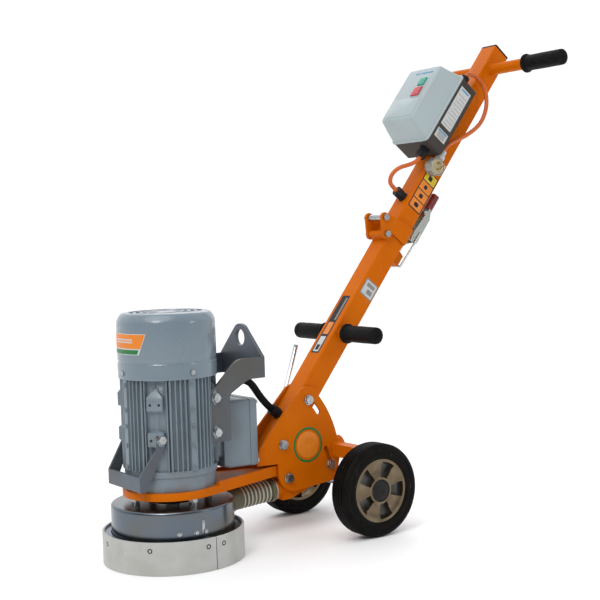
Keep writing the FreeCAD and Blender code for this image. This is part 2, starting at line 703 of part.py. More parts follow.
def drive_end_shield():
    seat = HEAD_TOP + 8
    return turned([(SHAFT_R + 2, HEAD_TOP), (FLANGE_R, HEAD_TOP), (FLANGE_R, FRAME_LOW - 12),
                   (FLANGE_R + 3, FRAME_LOW - 12),
                   (FLANGE_R + 3, FRAME_LOW), (FRAME_BORE - 4, FRAME_LOW),
                   (FRAME_BORE - 4, seat + BEARING_T + 3),
                   (BEARING_R, seat + BEARING_T + 3), (BEARING_R, seat),
                   (SHAFT_R + 2, seat)]).cut(stud_holes())


def stud_holes():
    return Part.makeCompound([rod(M10_R, polar(STUD_AT, a, HEAD_TOP - 1), polar(STUD_AT, a, HEAD_TOP + 22))
                              for a in (0, 90, 180, 270)])


def flange_studs():
    """Four studs that hold the shroud, the head plate and the motor flange together, with nuts."""
    studs = []
    for angle in (0, 90, 180, 270):
        low = SHROUD_TOP - SHROUD_T - NUT_T - 2
        stud = [rod(M10_R, polar(STUD_AT, angle, low), polar(STUD_AT, angle, HEAD_TOP + 20))]
        for z in (SHROUD_TOP - SHROUD_T - NUT_T, HEAD_Z - NUT_T):
            stud.append(hexagon(HEAD_ACROSS, polar(STUD_AT, angle, z), polar(STUD_AT, angle, z + NUT_T)))
        stud.append(rod(8, polar(STUD_AT, angle, SHROUD_TOP), polar(STUD_AT, angle, HEAD_Z - NUT_T)))
        studs.append(joined(stud))
    return studs


def fan_end_shield():
    low = FRAME_TOP - 16
    edge = COVER_R - COVER_WALL - GRIP_FIT
    return turned([(SHAFT_R + 2, FRAME_TOP + 12), (SHAFT_R + 2, low + BEARING_T),
                   (BEARING_R, low + BEARING_T),
                   (BEARING_R, low), (BEARING_R + 6, low), (BEARING_R + 6, FRAME_TOP), (edge, FRAME_TOP),
                   (edge, FRAME_TOP + 24), (edge - 6, FRAME_TOP + 24), (edge - 6, FRAME_TOP + 12)])


def fan_cover():
    """Pressed cover with a rounded shoulder and an air grille in its top."""
    r = COVER_R
    t = COVER_WALL
    knee = COVER_TOP - COVER_SHOULDER
    mid = (COVER_R + 1 * COVER_TOP_R) / 2 + 3.5
    body = turned([(r - t, FRAME_TOP + GRIP_FIT), (r, FRAME_TOP + GRIP_FIT), (r, knee), (mid, COVER_TOP - 5),
                   (COVER_TOP_R, COVER_TOP), (0, COVER_TOP), (0, COVER_TOP - t),
                   (COVER_TOP_R - 1, COVER_TOP - t),
                   (mid - t, COVER_TOP - 6), (r - t, knee)])
    for inner in (24, 38, 52, 66):
        ring = tube(inner + 8, inner, point(0, 0, COVER_TOP - t - 1), point(0, 0, COVER_TOP + 1))
        for angle in (0, 45, 90, 135):
            spoke = block(-90, 90, -3, 3, COVER_TOP - t - 2, COVER_TOP + 2)
            spoke.rotate(point(0, 0, 0), UP, angle)
            ring = ring.cut(spoke)
        body = body.cut(ring)
    for angle in (0, 90, 180, 270):
        body = body.cut(rod(2.5, polar(r - 6, angle, SCREW_Z), polar(r + 2, angle, SCREW_Z)))
    return body


def motor_screws():
    """The four screws of the fan cover and the four of the terminal lid."""
    screws = []
    for angle in (0, 90, 180, 270):
        screws.append(joined([rod(2.5, polar(COVER_R - COVER_WALL, angle, SCREW_Z),
                                  polar(COVER_R, angle, SCREW_Z)),
                              rod(5.0, polar(COVER_R + 0.3, angle, SCREW_Z),
                                  polar(COVER_R + 3, angle, SCREW_Z)),
                              rod(2.5, polar(COVER_R, angle, SCREW_Z), polar(COVER_R + 1, angle, SCREW_Z))]))
    for y in (8 - TBOX_HALF, TBOX_HALF - 8):
        for z in (TBOX_LOW + 8, TBOX_TOP - 8):
            screws.append(rod(4.5, point(TBOX_END_X, y, z), point(TBOX_END_X + 3, y, z)))
    return screws


def motor_fasteners():
    return Part.makeCompound(flange_studs() + lug_bolts() + motor_screws())


def motor_inside():
    """Stator core, end windings and the two bearings."""
    low = (FRAME_LOW + FRAME_TOP) / 2 - CORE_H / 2
    high = low + CORE_H
    core = tube(FRAME_BORE, CORE_R, point(0, 0, low), point(0, 0, high))
    winding_h = 14.0
    winds = [tube(FRAME_BORE - 6, CORE_R + 4, point(0, 0, z), point(0, 0, z + winding_h))
             for z in (low - winding_h, high)]
    seats = (HEAD_TOP + 8, FRAME_TOP - 16)
    rings = [tube(BEARING_R, SHAFT_R + BOLT_FIT, point(0, 0, z), point(0, 0, z + BEARING_T)) for z in seats]
    return {"stator_core": core, "stator_windings": Part.makeCompound(winds),
            "motor_bearings": Part.makeCompound(rings)}


def terminal_box():
    neck = block(FRAME_OUT - 6, TBOX_X + 1, -NECK_HALF, NECK_HALF, 195, 295)
    box = block(TBOX_X, TBOX_LID_X, -TBOX_HALF, TBOX_HALF, TBOX_LOW, TBOX_TOP)
    box = box.makeFillet(6, [e for e in box.Edges if abs(e.tangentAt(e.FirstParameter).x) > 0.9])
    hollow = block(TBOX_X + 4, TBOX_LID_X + 1, 4 - TBOX_HALF, TBOX_HALF - 4, TBOX_LOW + 4, TBOX_TOP - 4)
    body = joined([neck, box]).cut(hollow)
    return body.cut(rod(FRAME_OUT, point(0, 0, 150), point(0, 0, 400)))


def terminal_lid():
    lid = block(TBOX_LID_X, TBOX_END_X, -TBOX_HALF - 1, TBOX_HALF + 1, TBOX_LOW - 1, TBOX_TOP + 1)
    lid = lid.makeFillet(6, [e for e in lid.Edges if abs(e.tangentAt(e.FirstParameter).x) > 0.9])
    return lid.cut(block(TBOX_LID_X - 1, TBOX_END_X - 4, 4 - TBOX_HALF, TBOX_HALF - 4, TBOX_LOW + 4,
                         TBOX_TOP - 4))


def gland(start, end):
    """A cable gland: a hexagon foot, a round body and a domed nut, with the cable's bore."""
    way = end - start
    return joined([hexagon(GLAND_R * 1.9, start, start + way * 0.3),
                   rod(GLAND_R * 0.8, start, start + way * 0.55),
                   rod(GLAND_R, start + way * 0.5, end)])


def motor_gland():
    x, y, top = HEAD_CABLE_ROUTE[0]
    return gland(point(x, y, TBOX_TOP), point(x, y, top))


def lift_bracket():
    """One bent strap: a leg bolted to the motor lugs each side, and a rear plate with a lifting eye."""
    inner = LUG_FACE
    outer = LUG_FACE + LIFT_T
    leg = prism([(53, 240), (53, 343), (57, 347), (66, 350), (108, 391), (116, 397), (126, LIFT_TOP),
                 (LIFT_X, LIFT_TOP), (LIFT_X, LIFT_LOW), (147, LIFT_LOW), (138, 354), (100, 332), (97, 326),
                 (97, 240), (94, 237), (56, 237)], -outer, -inner)
    for z in (LUG_LOW_Z, LUG_HIGH_Z):
        leg = leg.cut(rod(M10_R, point(LUG_BOLT_X, -outer - 1, z), point(LUG_BOLT_X, -inner + 1, z)))
    reach = math.hypot(outer, EYE_Z - LIFT_TOP)
    lean = math.acos(EYE_OUT / reach) + math.atan2(LIFT_TOP - EYE_Z, outer)
    touch_y = EYE_OUT * math.cos(lean)
    touch_z = EYE_Z + EYE_OUT * math.sin(lean)
    x0 = LIFT_X - LIFT_T
    edges = [Part.makePolygon([point(x0, touch_y, touch_z), point(x0, outer, LIFT_TOP),
                               point(x0, outer, LIFT_LOW),
                               point(x0, -outer, LIFT_LOW), point(x0, -outer, LIFT_TOP),
                               point(x0, -touch_y, touch_z)]),
             Part.Arc(point(x0, -touch_y, touch_z), point(x0, 0, EYE_Z + EYE_OUT),
                      point(x0, touch_y, touch_z)).toShape()]
    rear = Part.Face(Part.Wire(edges[0].Edges + [edges[1]])).extrude(point(LIFT_T, 0, 0))
    rear = rear.cut(rod(EYE_R, point(x0 - 1, 0, EYE_Z), point(LIFT_X + 1, 0, EYE_Z)))
    return joined([rear, leg, mirrored(leg)])


def front_handle():
    """Flat bar bent into a U: a front bar, and an arm up to a lug bolt each side."""
    low = FRONT_Z - BAR_W / 2
    high = FRONT_Z + BAR_W / 2
    half = 9.0
    top = LUG_LOW_Z + half
    bend = LUG_LOW_Z - LUG_H / 2 - 2
    bar = block(FRONT_X, FRONT_X + BAR_T, -FRONT_HALF - BAR_T, FRONT_HALF + BAR_T, low, high)
    side = prism([(FRONT_X, low), (FRONT_X + 14, low), (half - LUG_BOLT_X, bend), (half - LUG_BOLT_X, top),
                  (-half - LUG_BOLT_X, top), (-half - LUG_BOLT_X, bend), (FRONT_X, high)],
                 -LUG_FACE - BAR_T, -FRONT_HALF)
    inner = [(-LUG_FACE, top), (-LUG_FACE, bend), (-FRONT_HALF, high), (-FRONT_HALF, low)]
    outer = [(y - BAR_T, z) for y, z in reversed(inner)]
    sheet = Part.Face(Part.makePolygon([point(FRONT_X, y, z) for y, z in inner + outer + inner[:1]]))
    arm = side.common(sheet.extrude(point(-FRONT_X, 0, 0)))
    arm = arm.cut(rod(M10_R, point(-LUG_BOLT_X, -LUG_FACE - BAR_T - 1, LUG_LOW_Z),
                      point(-LUG_BOLT_X, 1 - LUG_FACE, LUG_LOW_Z)))
    return joined([bar, arm, mirrored(arm)])


def head():
    near = arm_cheek()
    stop = stub_bolt(STOP_X, STOP_Z, CHEEK_OUT - CHEEK_T, PLATE_OUT + SLOT_FIT, M10_R)
    parts = {"head_plate": head_plate(), "arm_cheeks": both_sides(near), "dust_duct": duct(),
             "float_stop_bolts": both_sides(stop), "motor_frame": motor_frame(),
             "drive_end_shield": drive_end_shield(), "fan_end_shield": fan_end_shield(),
             "fan_cover": fan_cover(), "motor_fasteners": motor_fasteners(), "terminal_box": terminal_box(),
             "terminal_lid": terminal_lid(), "motor_gland": motor_gland(), "lift_bracket": lift_bracket(),
             "front_handle": front_handle(),
             "dust_shroud": shroud(), "dust_hose": dust_hose(), "hose_clamps": hose_clamps(),
             "motor_cable_head": cable(HEAD_CABLE_ROUTE, MOTOR_CABLE_R, "motor cable, head half")}
    parts.update(motor_inside())
    return parts


def rotor():
    """Shaft, rotor core, cooling fan, disc hub, disc and diamond segments."""
    shaft = rod(SHAFT_R, point(0, 0, 40), point(0, 0, 436))
    low = (FRAME_LOW + FRAME_TOP) / 2 - CORE_H / 2
    core = tube(ROTOR_R, SHAFT_R, point(0, 0, low), point(0, 0, low + CORE_H))
    fan_z = FRAME_TOP + 28
    fan = [tube(24, SHAFT_R, point(0, 0, fan_z), point(0, 0, fan_z + 32)),
           tube(FRAME_BORE, SHAFT_R, point(0, 0, fan_z), point(0, 0, fan_z + 3))]
    for k in range(8):
        blade = block(20, FRAME_BORE, -1.2, 1.2, fan_z, fan_z + 30)
        blade.rotate(point(0, 0, 0), UP, 45 * k)
        fan.append(blade.cut(rod(SHAFT_R, point(0, 0, fan_z - 1), point(0, 0, fan_z + 40))))
    disc_low = SEGMENT_H
    disc_top = SEGMENT_H + DISC_T
    hub = rod(DISC_HUB_R, point(0, 0, disc_top), point(0, 0, DISC_HUB_TOP))
    hub = hub.cut(rod(SHAFT_R, point(0, 0, 40), point(0, 0, DISC_HUB_TOP + 1)))
    disc = rod(DISC_R, point(0, 0, disc_low), point(0, 0, disc_top))
    segments = []
    for k in range(SEGMENTS):
        outer = tube(DISC_R - 4, DISC_R - 18, point(0, 0, 0), point(0, 0, disc_low))
        keep = block(0, DISC_R, -18, 18, -1, disc_low + 1)
        keep.rotate(point(0, 0, 0), UP, 360.0 / SEGMENTS * k)
        segments.append(outer.common(keep))
    return {"rotor_shaft": shaft, "rotor_core": core, "cooling_fan": joined(fan), "disc_hub": hub,
            "grinding_disc": disc, "diamond_segments": Part.makeCompound(segments)}


# ---- mast: everything below is in the mast's own axes until from_mast ----

def square_tube(start, end):
    inner = HALF - MAST_WALL
    body = block(start, end, -HALF, HALF, -HALF, HALF)
    body = body.makeFillet(3, [e for e in body.Edges if abs(e.tangentAt(e.FirstParameter).x) > 0.9])
    return body.cut(block(start - 1, end + 1, -inner, inner, -inner, inner))


def across(radius, s, v, half):
    return rod(radius, point(s, -half, v), point(s, half, v))


def lower_mast():
    """Lower tube with the carrying bar, the fold knuckle and the latch catch welded on."""
    body = square_tube(MAST_FOOT, MAST_JOINT - JOINT_GAP)
    sleeves = [across(M10_R + 3, s, 0, HALF - 0.5) for s in (0, CLAMP_AT)]
    bar = across(BAR_R, CARRY_AT, 0, CARRY_HALF)
    knuckle = across(KNUCKLE_R, FOLD_S, FOLD_V, KNUCKLE_HALF)
    saddle = block(FOLD_S - KNUCKLE_R, FOLD_S + KNUCKLE_R, -KNUCKLE_HALF, KNUCKLE_HALF, HALF - 1, FOLD_V)
    catch = prism([(CATCH_LOW, 1 - HALF), (CATCH_HIGH, 1 - HALF), (CATCH_HIGH - 6, CATCH_V),
                   (CATCH_LOW, CATCH_V)],
                  -CATCH_HALF, CATCH_HALF)
    doublers = [block(FOLD_S - 26, MAST_JOINT - JOINT_GAP, y, y + 4, -14, HALF) for y in (-HALF - 4, HALF)]
    body = joined([body, bar, knuckle, saddle, catch] + sleeves)
    for s in (0, CLAMP_AT):
        body = body.cut(across(M10_R + BOLT_FIT, s, 0, HALF + 1))
    body = body.cut(across(M10_R + BOLT_FIT, FOLD_S, FOLD_V, HALF + 1))
    gland_hole = rod(MOTOR_CABLE_R, point(FOOT_GLAND_S, FOOT_GLAND_Y, HALF - 6),
                     point(FOOT_GLAND_S, FOOT_GLAND_Y, HALF + 1))
    return body.cut(gland_hole)


def grip(s, inner, outer):
    """Rubber grip on the -Y end of a bar: an inner flange, a long body and a closed end."""
    body = joined([across(GRIP_R, s, 0, outer + GRIP_END).common(block(s - 40, s + 40, -outer - 20, -inner,
                                                                       -40, 40)),
                   rod(GRIP_FLANGE_R, point(s, -inner - 6, 0), point(s, -inner, 0))])
    return body.cut(across(BAR_R + GRIP_FIT, s, 0, outer + GRIP_FIT))


def clamp_bolt():
    """Clamp bolt right through the mast and the slots: hexagon head near, threaded boss far."""
    half = PLATE_OUT + SLOT_FIT
    boss = rod(9, point(CLAMP_AT, half, 0), point(CLAMP_AT, half + 10, 0))
    return joined([across(M10_R, CLAMP_AT, 0, half), boss,
                   rod(WASHER_R, point(CLAMP_AT, -half - WASHER_T, 0), point(CLAMP_AT, -half, 0)),
                   hexagon(HEAD_ACROSS, point(CLAMP_AT, -half - WASHER_T - HEAD_T, 0),
                           point(CLAMP_AT, -half - WASHER_T, 0)),
                   rod(4, point(CLAMP_AT, half + 9, 0), point(CLAMP_AT, half + 22, 0))])


def clamp_lever():
    """Bent chrome rod on the far side: a short leg on the clamp bolt's axis, then a long hand leg."""
    start = PLATE_OUT + SLOT_FIT + 10.3
    reach = 62.0
    radius = 6.0
    hand = point(CLAMP_AT + 111.4, reach, 38.5)
    corner = point(CLAMP_AT, reach, 0)
    leg = rod(radius + 2, point(CLAMP_AT, start, 0), corner)
    arm = rod(radius, corner, hand)
    body = joined([leg, arm, Part.makeSphere(radius + 2, corner)])
    return body.cut(rod(4 + BOLT_FIT, point(CLAMP_AT, start - 1, 0), point(CLAMP_AT, start + 12.5, 0)))


def box_bracket():
    """Mounting plate between the mast and the starter box."""
    return block(BOX_LOW + 8, BOX_HIGH + 24, 3 - HALF, HALF - 3, HALF - 1, BOX_BACK)


def upper_mast():
    """Upper tube with two fold ears, the starter box's plate and the top handle bar welded on."""
    tube_body = square_tube(MAST_JOINT, MAST_TOP)
    face = outline((MAST_JOINT, -HALF), [(EAR_TOP, -HALF), (EAR_TOP, 8), (UPPER_PIN_S + 9, UPPER_PIN_V + 7),
                                         ((UPPER_PIN_S, UPPER_PIN_V + 11.4),
                                          (UPPER_PIN_S - 9, UPPER_PIN_V + 7)),
                                         (FOLD_S - 11, FOLD_V + 5),
                                         ((FOLD_S - 8, FOLD_V - 9), (FOLD_S + 5, FOLD_V - 11)),
                                         (MAST_JOINT, HALF - 4), (MAST_JOINT, -HALF)])
    ear = plate(face, -EAR_IN - EAR_T, -EAR_IN)
    ear = ear.cut(across(M10_R, FOLD_S, FOLD_V, 60)).cut(across(M10_R, UPPER_PIN_S, UPPER_PIN_V, 60))
    bar = across(BAR_R, HANDLE_AT, 0, HANDLE_HALF)
    body = joined([tube_body, ear, mirrored(ear), bar, box_bracket()])
    gland_hole = rod(CORD_R, point(MAST_GLAND_S, 0, HALF - 6), point(MAST_GLAND_S, 0, HALF + 1))
    return body.cut(gland_hole)


def fold_bolts():
    """The fold bolt, and the upper bolt with its spacer tube."""
    half = EAR_IN + EAR_T
    bolts = []
    for s, v in ((FOLD_S, FOLD_V), (UPPER_PIN_S, UPPER_PIN_V)):
        bolts.append([across(M10_R, s, v, half), hexagon(14, point(s, -half - 6, v), point(s, -half, v)),
                      hexagon(14, point(s, half, v), point(s, half + 7, v))])
    bolts[1].append(across(SPACER_R, UPPER_PIN_S, UPPER_PIN_V, EAR_IN))
    return Part.makeCompound([joined(b) for b in bolts])


def latch_base():
    """Latch base on the rear face: a plate with two pivot tabs and the pivot pin."""
    back = -HALF
    plate_t = 3.0
    foot = block(LATCH_PIVOT_S - 16, LATCH_PIVOT_S + 66, -12, 12, back - plate_t, back)
    tab = joined([prism([(LATCH_PIVOT_S - 10, back - 1), (LATCH_PIVOT_S + 10, back - 1),
                         (LATCH_PIVOT_S + 9, LATCH_PIVOT_V), (LATCH_PIVOT_S - 9, LATCH_PIVOT_V)], -12, -10),
                  rod(9, point(LATCH_PIVOT_S, -12, LATCH_PIVOT_V), point(LATCH_PIVOT_S, -10, LATCH_PIVOT_V))])
    pin = across(LATCH_PIN_R, LATCH_PIVOT_S, LATCH_PIVOT_V, LEVER_Y + 1)
    return joined([foot, tab, mirrored(tab), pin])


def latch_lever():
    """Channel lever over the base, narrowing to a flat tongue inside the hand sleeve."""
    low = LATCH_PIVOT_S - 11
    wide = LATCH_PIVOT_S + 62
    cheek = prism([(low, LATCH_PIVOT_V + 6), (low, LEVER_BACK + 4), (low + 6, LEVER_BACK), (wide, LEVER_BACK),
                   (wide + 22, -52), (wide + 22, -46), (LATCH_PIVOT_S + 12, LATCH_PIVOT_V + 8),
                   (LATCH_PIVOT_S - 4, LATCH_PIVOT_V + 8)], -LEVER_Y, LEVER_T - LEVER_Y)
    web = block(low + 6, wide, -LEVER_Y, LEVER_Y, LEVER_BACK, LEVER_BACK + LEVER_T)
    slope = prism([(wide - 1, LEVER_BACK), (wide - 1, LEVER_BACK + LEVER_T), (wide + 22, -50),
                   (wide + 22, -52)],
                  -LEVER_Y, LEVER_Y)
    tongue = block(wide + 20, wide + 58, -8, 8, -56, -46)
    body = joined([cheek, mirrored(cheek), web, slope, tongue])
    body = body.cut(across(LATCH_PIN_R + BOLT_FIT, LATCH_PIVOT_S, LATCH_PIVOT_V, 30))
    return body.cut(across(LOOP_R + BOLT_FIT, LOOP_S, LOOP_V, 30))


def latch_sleeve():
    """Moulded hand sleeve on the lever's tongue."""
    wide = LATCH_PIVOT_S + 62
    body = block(wide + 22, wide + 64, -11, 11, -61, -41)
    body = body.makeFillet(7, [e for e in body.Edges if abs(e.tangentAt(e.FirstParameter).x) > 0.9])
    return body.cut(block(wide + 10, wide + 58, -8, 8, -56, -46))


def latch_loop():
    """Wire loop: two legs outside the lever, hooked ends in it, and the cross wire at the catch."""
    inner = LEVER_Y - LEVER_T - 1
    pieces = []
    for side in (-1, 1):
        y = side * LOOP_Y
        pieces.append(rod(LOOP_R, point(LOOP_S, side * inner, LOOP_V), point(LOOP_S, y, LOOP_V)))
        pieces.append(Part.makeSphere(LOOP_R, point(LOOP_S, y, LOOP_V)))
        pieces.append(rod(LOOP_R, point(LOOP_S, y, LOOP_V), point(LOOP_END_S, y, LOOP_END_V)))
        pieces.append(Part.makeSphere(LOOP_R, point(LOOP_END_S, y, LOOP_END_V)))
    pieces.append(across(LOOP_R, LOOP_END_S, LOOP_END_V, LOOP_Y))
    return joined(pieces)


def starter_base():
    """Rear half of the starter box, open at the front."""
    body = block(BOX_LOW, BOX_HIGH, -BOX_HALF, BOX_HALF, BOX_BACK, BOX_RIM)
    body = body.makeFillet(10, [e for e in body.Edges if abs(e.tangentAt(e.FirstParameter).z) > 0.9])
    w = BOX_WALL
    body = body.cut(block(BOX_LOW + w, BOX_HIGH - w, w - BOX_HALF, BOX_HALF - w, BOX_BACK + w, BOX_RIM + 1))
    for s, y in ((BOX_LOW - 1, GLAND_Y), (BOX_HIGH - w - 1, GLAND_Y)):
        body = body.cut(rod(CORD_R, point(s, y, GLAND_V), point(s + w + 2, y, GLAND_V)))
    return body


def box_section(low, high, half, v, radius):
    """A rounded rectangle at one height in front of the mast."""
    face = block(low, high, -half, half, v, v + 1)
    face = face.makeFillet(radius, [e for e in face.Edges if abs(e.tangentAt(e.FirstParameter).z) > 0.9])
    flat = [f for f in face.Faces if abs(f.normalAt(0, 0).z) > 0.9 and abs(f.CenterOfMass.z - v) < 0.01]
    return flat[0].OuterWire


def starter_cover():
    """Tapered front cover with a rim, and a square hole for each button."""
    w = BOX_WALL
    rim = block(BOX_LOW - RIM_PROUD, BOX_HIGH + RIM_PROUD, -BOX_HALF - RIM_PROUD, BOX_HALF + RIM_PROUD,
                BOX_RIM, BOX_RIM + RIM_T)
    rim = rim.makeFillet(12, [e for e in rim.Edges if abs(e.tangentAt(e.FirstParameter).z) > 0.9])
    skirt = Part.makeLoft([box_section(BOX_LOW, BOX_HIGH, BOX_HALF, BOX_RIM, 10),
                           box_section(FRONT_LOW, FRONT_HIGH, FRONT_HALF_W, BOX_FRONT, 8)], True, True)
    hollow = Part.makeLoft([box_section(BOX_LOW + w, BOX_HIGH - w, BOX_HALF - w, BOX_RIM, 8),
                            box_section(FRONT_LOW + w, FRONT_HIGH - w, FRONT_HALF_W - w, BOX_FRONT - w, 6)],
                            True, True)
    body = joined([rim, skirt]).cut(hollow)
    for s, half in ((START_S, START_HALF + BUTTON_GAP), (STOP_S, STOP_HALF + BUTTON_GAP)):
        body = body.cut(block(s - half, s + half, BUTTON_Y - half, BUTTON_Y + half, BOX_FRONT - w - 1,
                              BOX_FRONT + 1))
    return body


def button(s, half):
    body = block(s - half, s + half, BUTTON_Y - half, BUTTON_Y + half,
                 BOX_FRONT - BUTTON_DEPTH, BOX_FRONT + BUTTON_PROUD)
    return body.makeFillet(1.5, [e for e in body.Edges if e.CenterOfMass.z > BOX_FRONT + BUTTON_PROUD - 0.1])


def cable_glands():
    """Glands at both ends of the starter box and on the mast."""
    return Part.makeCompound([gland(point(BOX_LOW, GLAND_Y, GLAND_V), point(LOW_GLAND_S, GLAND_Y, GLAND_V)),
                              gland(point(BOX_HIGH, GLAND_Y, GLAND_V), point(TOP_GLAND_S, GLAND_Y, GLAND_V)),
                              gland(point(MAST_GLAND_S, 0, HALF), point(MAST_GLAND_S, 0, MAST_GLAND_V))])


def supply_plug():
    """Round three-pin plug with a side neck for the cord."""
    front = PLUG_Y - PLUG_HALF
    body = rod(PLUG_R, point(PLUG_S, front, PLUG_V), point(PLUG_S, PLUG_Y + PLUG_HALF, PLUG_V))
    neck = rod(PLUG_NECK_R, point(PLUG_S + PLUG_R - 4, PLUG_Y, PLUG_V), point(PLUG_NECK_S, PLUG_Y, PLUG_V))
    pieces = [body, neck]
    pin_reach = 17.0
    for angle in (90, 210, 330):
        pin = block(-0.8, 0.8, front - pin_reach, front + 1, 4.5, 11)
        pin.rotate(point(0, 0, 0), SIDE, angle)
        pin.translate(point(PLUG_S, 0, PLUG_V))
        pieces.append(pin)
    return joined(pieces)


def mast_route(route):
    """A route given as (along, in front, side) turned into the mast's axes."""
    return [(s, y, v) for s, v, y in route]


def mast_parts():
    """Every sub-part of the mast, already turned into the object's axes."""
    carry = grip(CARRY_AT, CARRY_HALF - GRIP_LENGTH + 12, CARRY_HALF)
    top = grip(HANDLE_AT, HANDLE_HALF - GRIP_LENGTH + GRIP_END, HANDLE_HALF)
    foot = gland(point(FOOT_GLAND_S, FOOT_GLAND_Y, HALF), point(FOOT_GLAND_S, FOOT_GLAND_Y, FOOT_GLAND_V))
    parts = {"lower_mast": lower_mast(), "carry_grips": both_sides(carry), "clamp_bolt": clamp_bolt(),
             "mast_foot_gland": foot, "clamp_lever": clamp_lever(), "upper_mast": upper_mast(),
             "fold_bolts": fold_bolts(), "handle_grips": both_sides(top), "latch_base": latch_base(),
             "latch_lever": latch_lever(), "latch_sleeve": latch_sleeve(), "latch_loop": latch_loop(),
             "starter_base": starter_base(), "starter_cover": starter_cover(),
             "start_button": button(START_S, START_HALF),
             "stop_button": button(STOP_S, STOP_HALF), "cable_glands": cable_glands(),
             "supply_plug": supply_plug(),
             "link_cable": cable(mast_route(LINK_ROUTE), CORD_R, "link cable"),
             "supply_cord": cable(mast_route(SUPPLY_ROUTE), CORD_R, "supply cord")}
    return {name: from_mast(shape) for name, shape in parts.items()}


def main():
    parts = chassis()
    for side, name in ((-1, "near"), (1, "far")):
        tyre, rim, cap = wheel(side)
        parts["tyre_" + name] = tyre
        parts["rim_" + name] = rim
        parts["hub_cap_" + name] = cap
    parts.update(head())
    parts["motor_cable_mast"] = cable(MAST_CABLE_ROUTE, MOTOR_CABLE_R, "motor cable, mast half")
    parts.update(rotor())
    parts["skirt_ring"] = skirt_ring()
    parts["skirt_strips"] = skirt_strips()
    parts.update(mast_parts())
    os.makedirs("parts", exist_ok=True)
    move = FreeCAD.Matrix()
    move.move(point(-CENTRE_X, 0, 0))
    for name, shape in parts.items():
        shape.transformed(move, copy=True).exportStep("parts/" + name + ".step")
    return parts


if __name__ == "__main__":
    main()
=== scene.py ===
"""Finished surfaces for a walk-behind floor grinder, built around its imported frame.

Shapes are worked out in millimetres, in the head's axes (the disc's axis at x = y = 0, the floor
at z = 0) or in the mast's axes (along it, to the side, out of its front face), then placed in
metres in the frame's own axes.
"""

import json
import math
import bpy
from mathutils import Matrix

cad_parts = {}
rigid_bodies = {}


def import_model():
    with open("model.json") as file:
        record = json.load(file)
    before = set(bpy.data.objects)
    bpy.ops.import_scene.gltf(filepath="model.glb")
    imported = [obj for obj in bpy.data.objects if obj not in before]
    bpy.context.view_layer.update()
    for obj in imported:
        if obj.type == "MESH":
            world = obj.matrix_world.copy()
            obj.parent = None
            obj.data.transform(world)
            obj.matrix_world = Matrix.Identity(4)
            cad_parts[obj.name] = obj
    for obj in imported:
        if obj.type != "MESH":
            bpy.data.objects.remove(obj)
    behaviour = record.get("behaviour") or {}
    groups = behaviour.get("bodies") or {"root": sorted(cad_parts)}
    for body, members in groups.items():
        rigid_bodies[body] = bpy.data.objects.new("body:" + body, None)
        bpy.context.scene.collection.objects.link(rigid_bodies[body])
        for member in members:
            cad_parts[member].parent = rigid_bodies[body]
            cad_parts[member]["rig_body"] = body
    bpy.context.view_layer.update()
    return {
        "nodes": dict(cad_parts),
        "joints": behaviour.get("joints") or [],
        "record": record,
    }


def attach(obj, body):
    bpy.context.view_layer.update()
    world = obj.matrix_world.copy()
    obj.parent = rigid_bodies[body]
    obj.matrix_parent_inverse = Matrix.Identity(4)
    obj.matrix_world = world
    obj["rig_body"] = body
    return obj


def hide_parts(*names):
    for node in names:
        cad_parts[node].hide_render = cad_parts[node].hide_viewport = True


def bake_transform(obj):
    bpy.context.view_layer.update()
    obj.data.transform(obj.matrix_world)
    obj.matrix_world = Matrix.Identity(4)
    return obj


bl_info = {
    "name": "Floor Grinder Finish",
    "version": (1, 0, 0),
    "blender": (4, 5, 0),
    "location": "3D View > Sidebar > Grinder",
    "description": "Builds the finished surfaces of a walk-behind floor grinder around its frame",
    "category": "Add Mesh",
}

from collections import namedtuple

import bmesh
import bpy
import numpy as np
from bpy.props import FloatProperty, FloatVectorProperty, IntProperty, PointerProperty
from mathutils import Matrix, Vector

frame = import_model()

MM = 0.001
JOINT = {joint["name"]: joint for joint in frame["joints"]}
SLOT = {part["node"]: part["material_slot"] for part in frame["record"]["subparts"]}
HEAD_ORIGIN = np.array([JOINT["disc_spin"]["pos_m"][0], 0.0, 0.0])
MAST_ORIGIN = np.array(JOINT["mast_tilt"]["pos_m"])
MAST_LEAN = math.radians(51.8)
MAST_AXES = np.array([[math.cos(MAST_LEAN), 0.0, math.sin(MAST_LEAN)], [0.0, 1.0, 0.0],
                      [-math.sin(MAST_LEAN), 0.0, math.cos(MAST_LEAN)]])

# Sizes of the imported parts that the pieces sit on, in millimetres and degrees.
MAST_HALF = 25.0
PLATE_OUT = 31.5
CARRY_S = 288              # the carrying bar and the handle bar, along the mast
HANDLE_S = 1061
COVER_R = 100.2
RAIL_R = 97.5
SHROUD_R = 125.0
SKIRT_R = 144.0
SKIRT_SPLIT = 276.0
SCREW_STEP = 46.6
WHEEL_R = 100
TYRE_HALF = 25
CAP_R = 24
GRIP_BORE = 13.65
PLUG_AT = (746.0, -40.0, 16.0)
CORD_R = 5.0
MOTOR_CABLE_R = 8.0
AXIS = 0.001               # the radius of a point on an axis

# How meshes are cleaned, in metres and radians.
MERGE = 2e-6
NO_LENGTH = 1e-7
FLAT = math.radians(0.6)
SHARP_EDGE = math.radians(33)
BEVEL_LIMIT = math.radians(38)

# The noise values between which clouds and scratches fade in, and the gloss of a clear coat.
CLOUD_EDGES = (0.36, 0.66)
SCRATCH_EDGES = (0.70, 0.76)
COAT_ROUGHNESS = 0.12

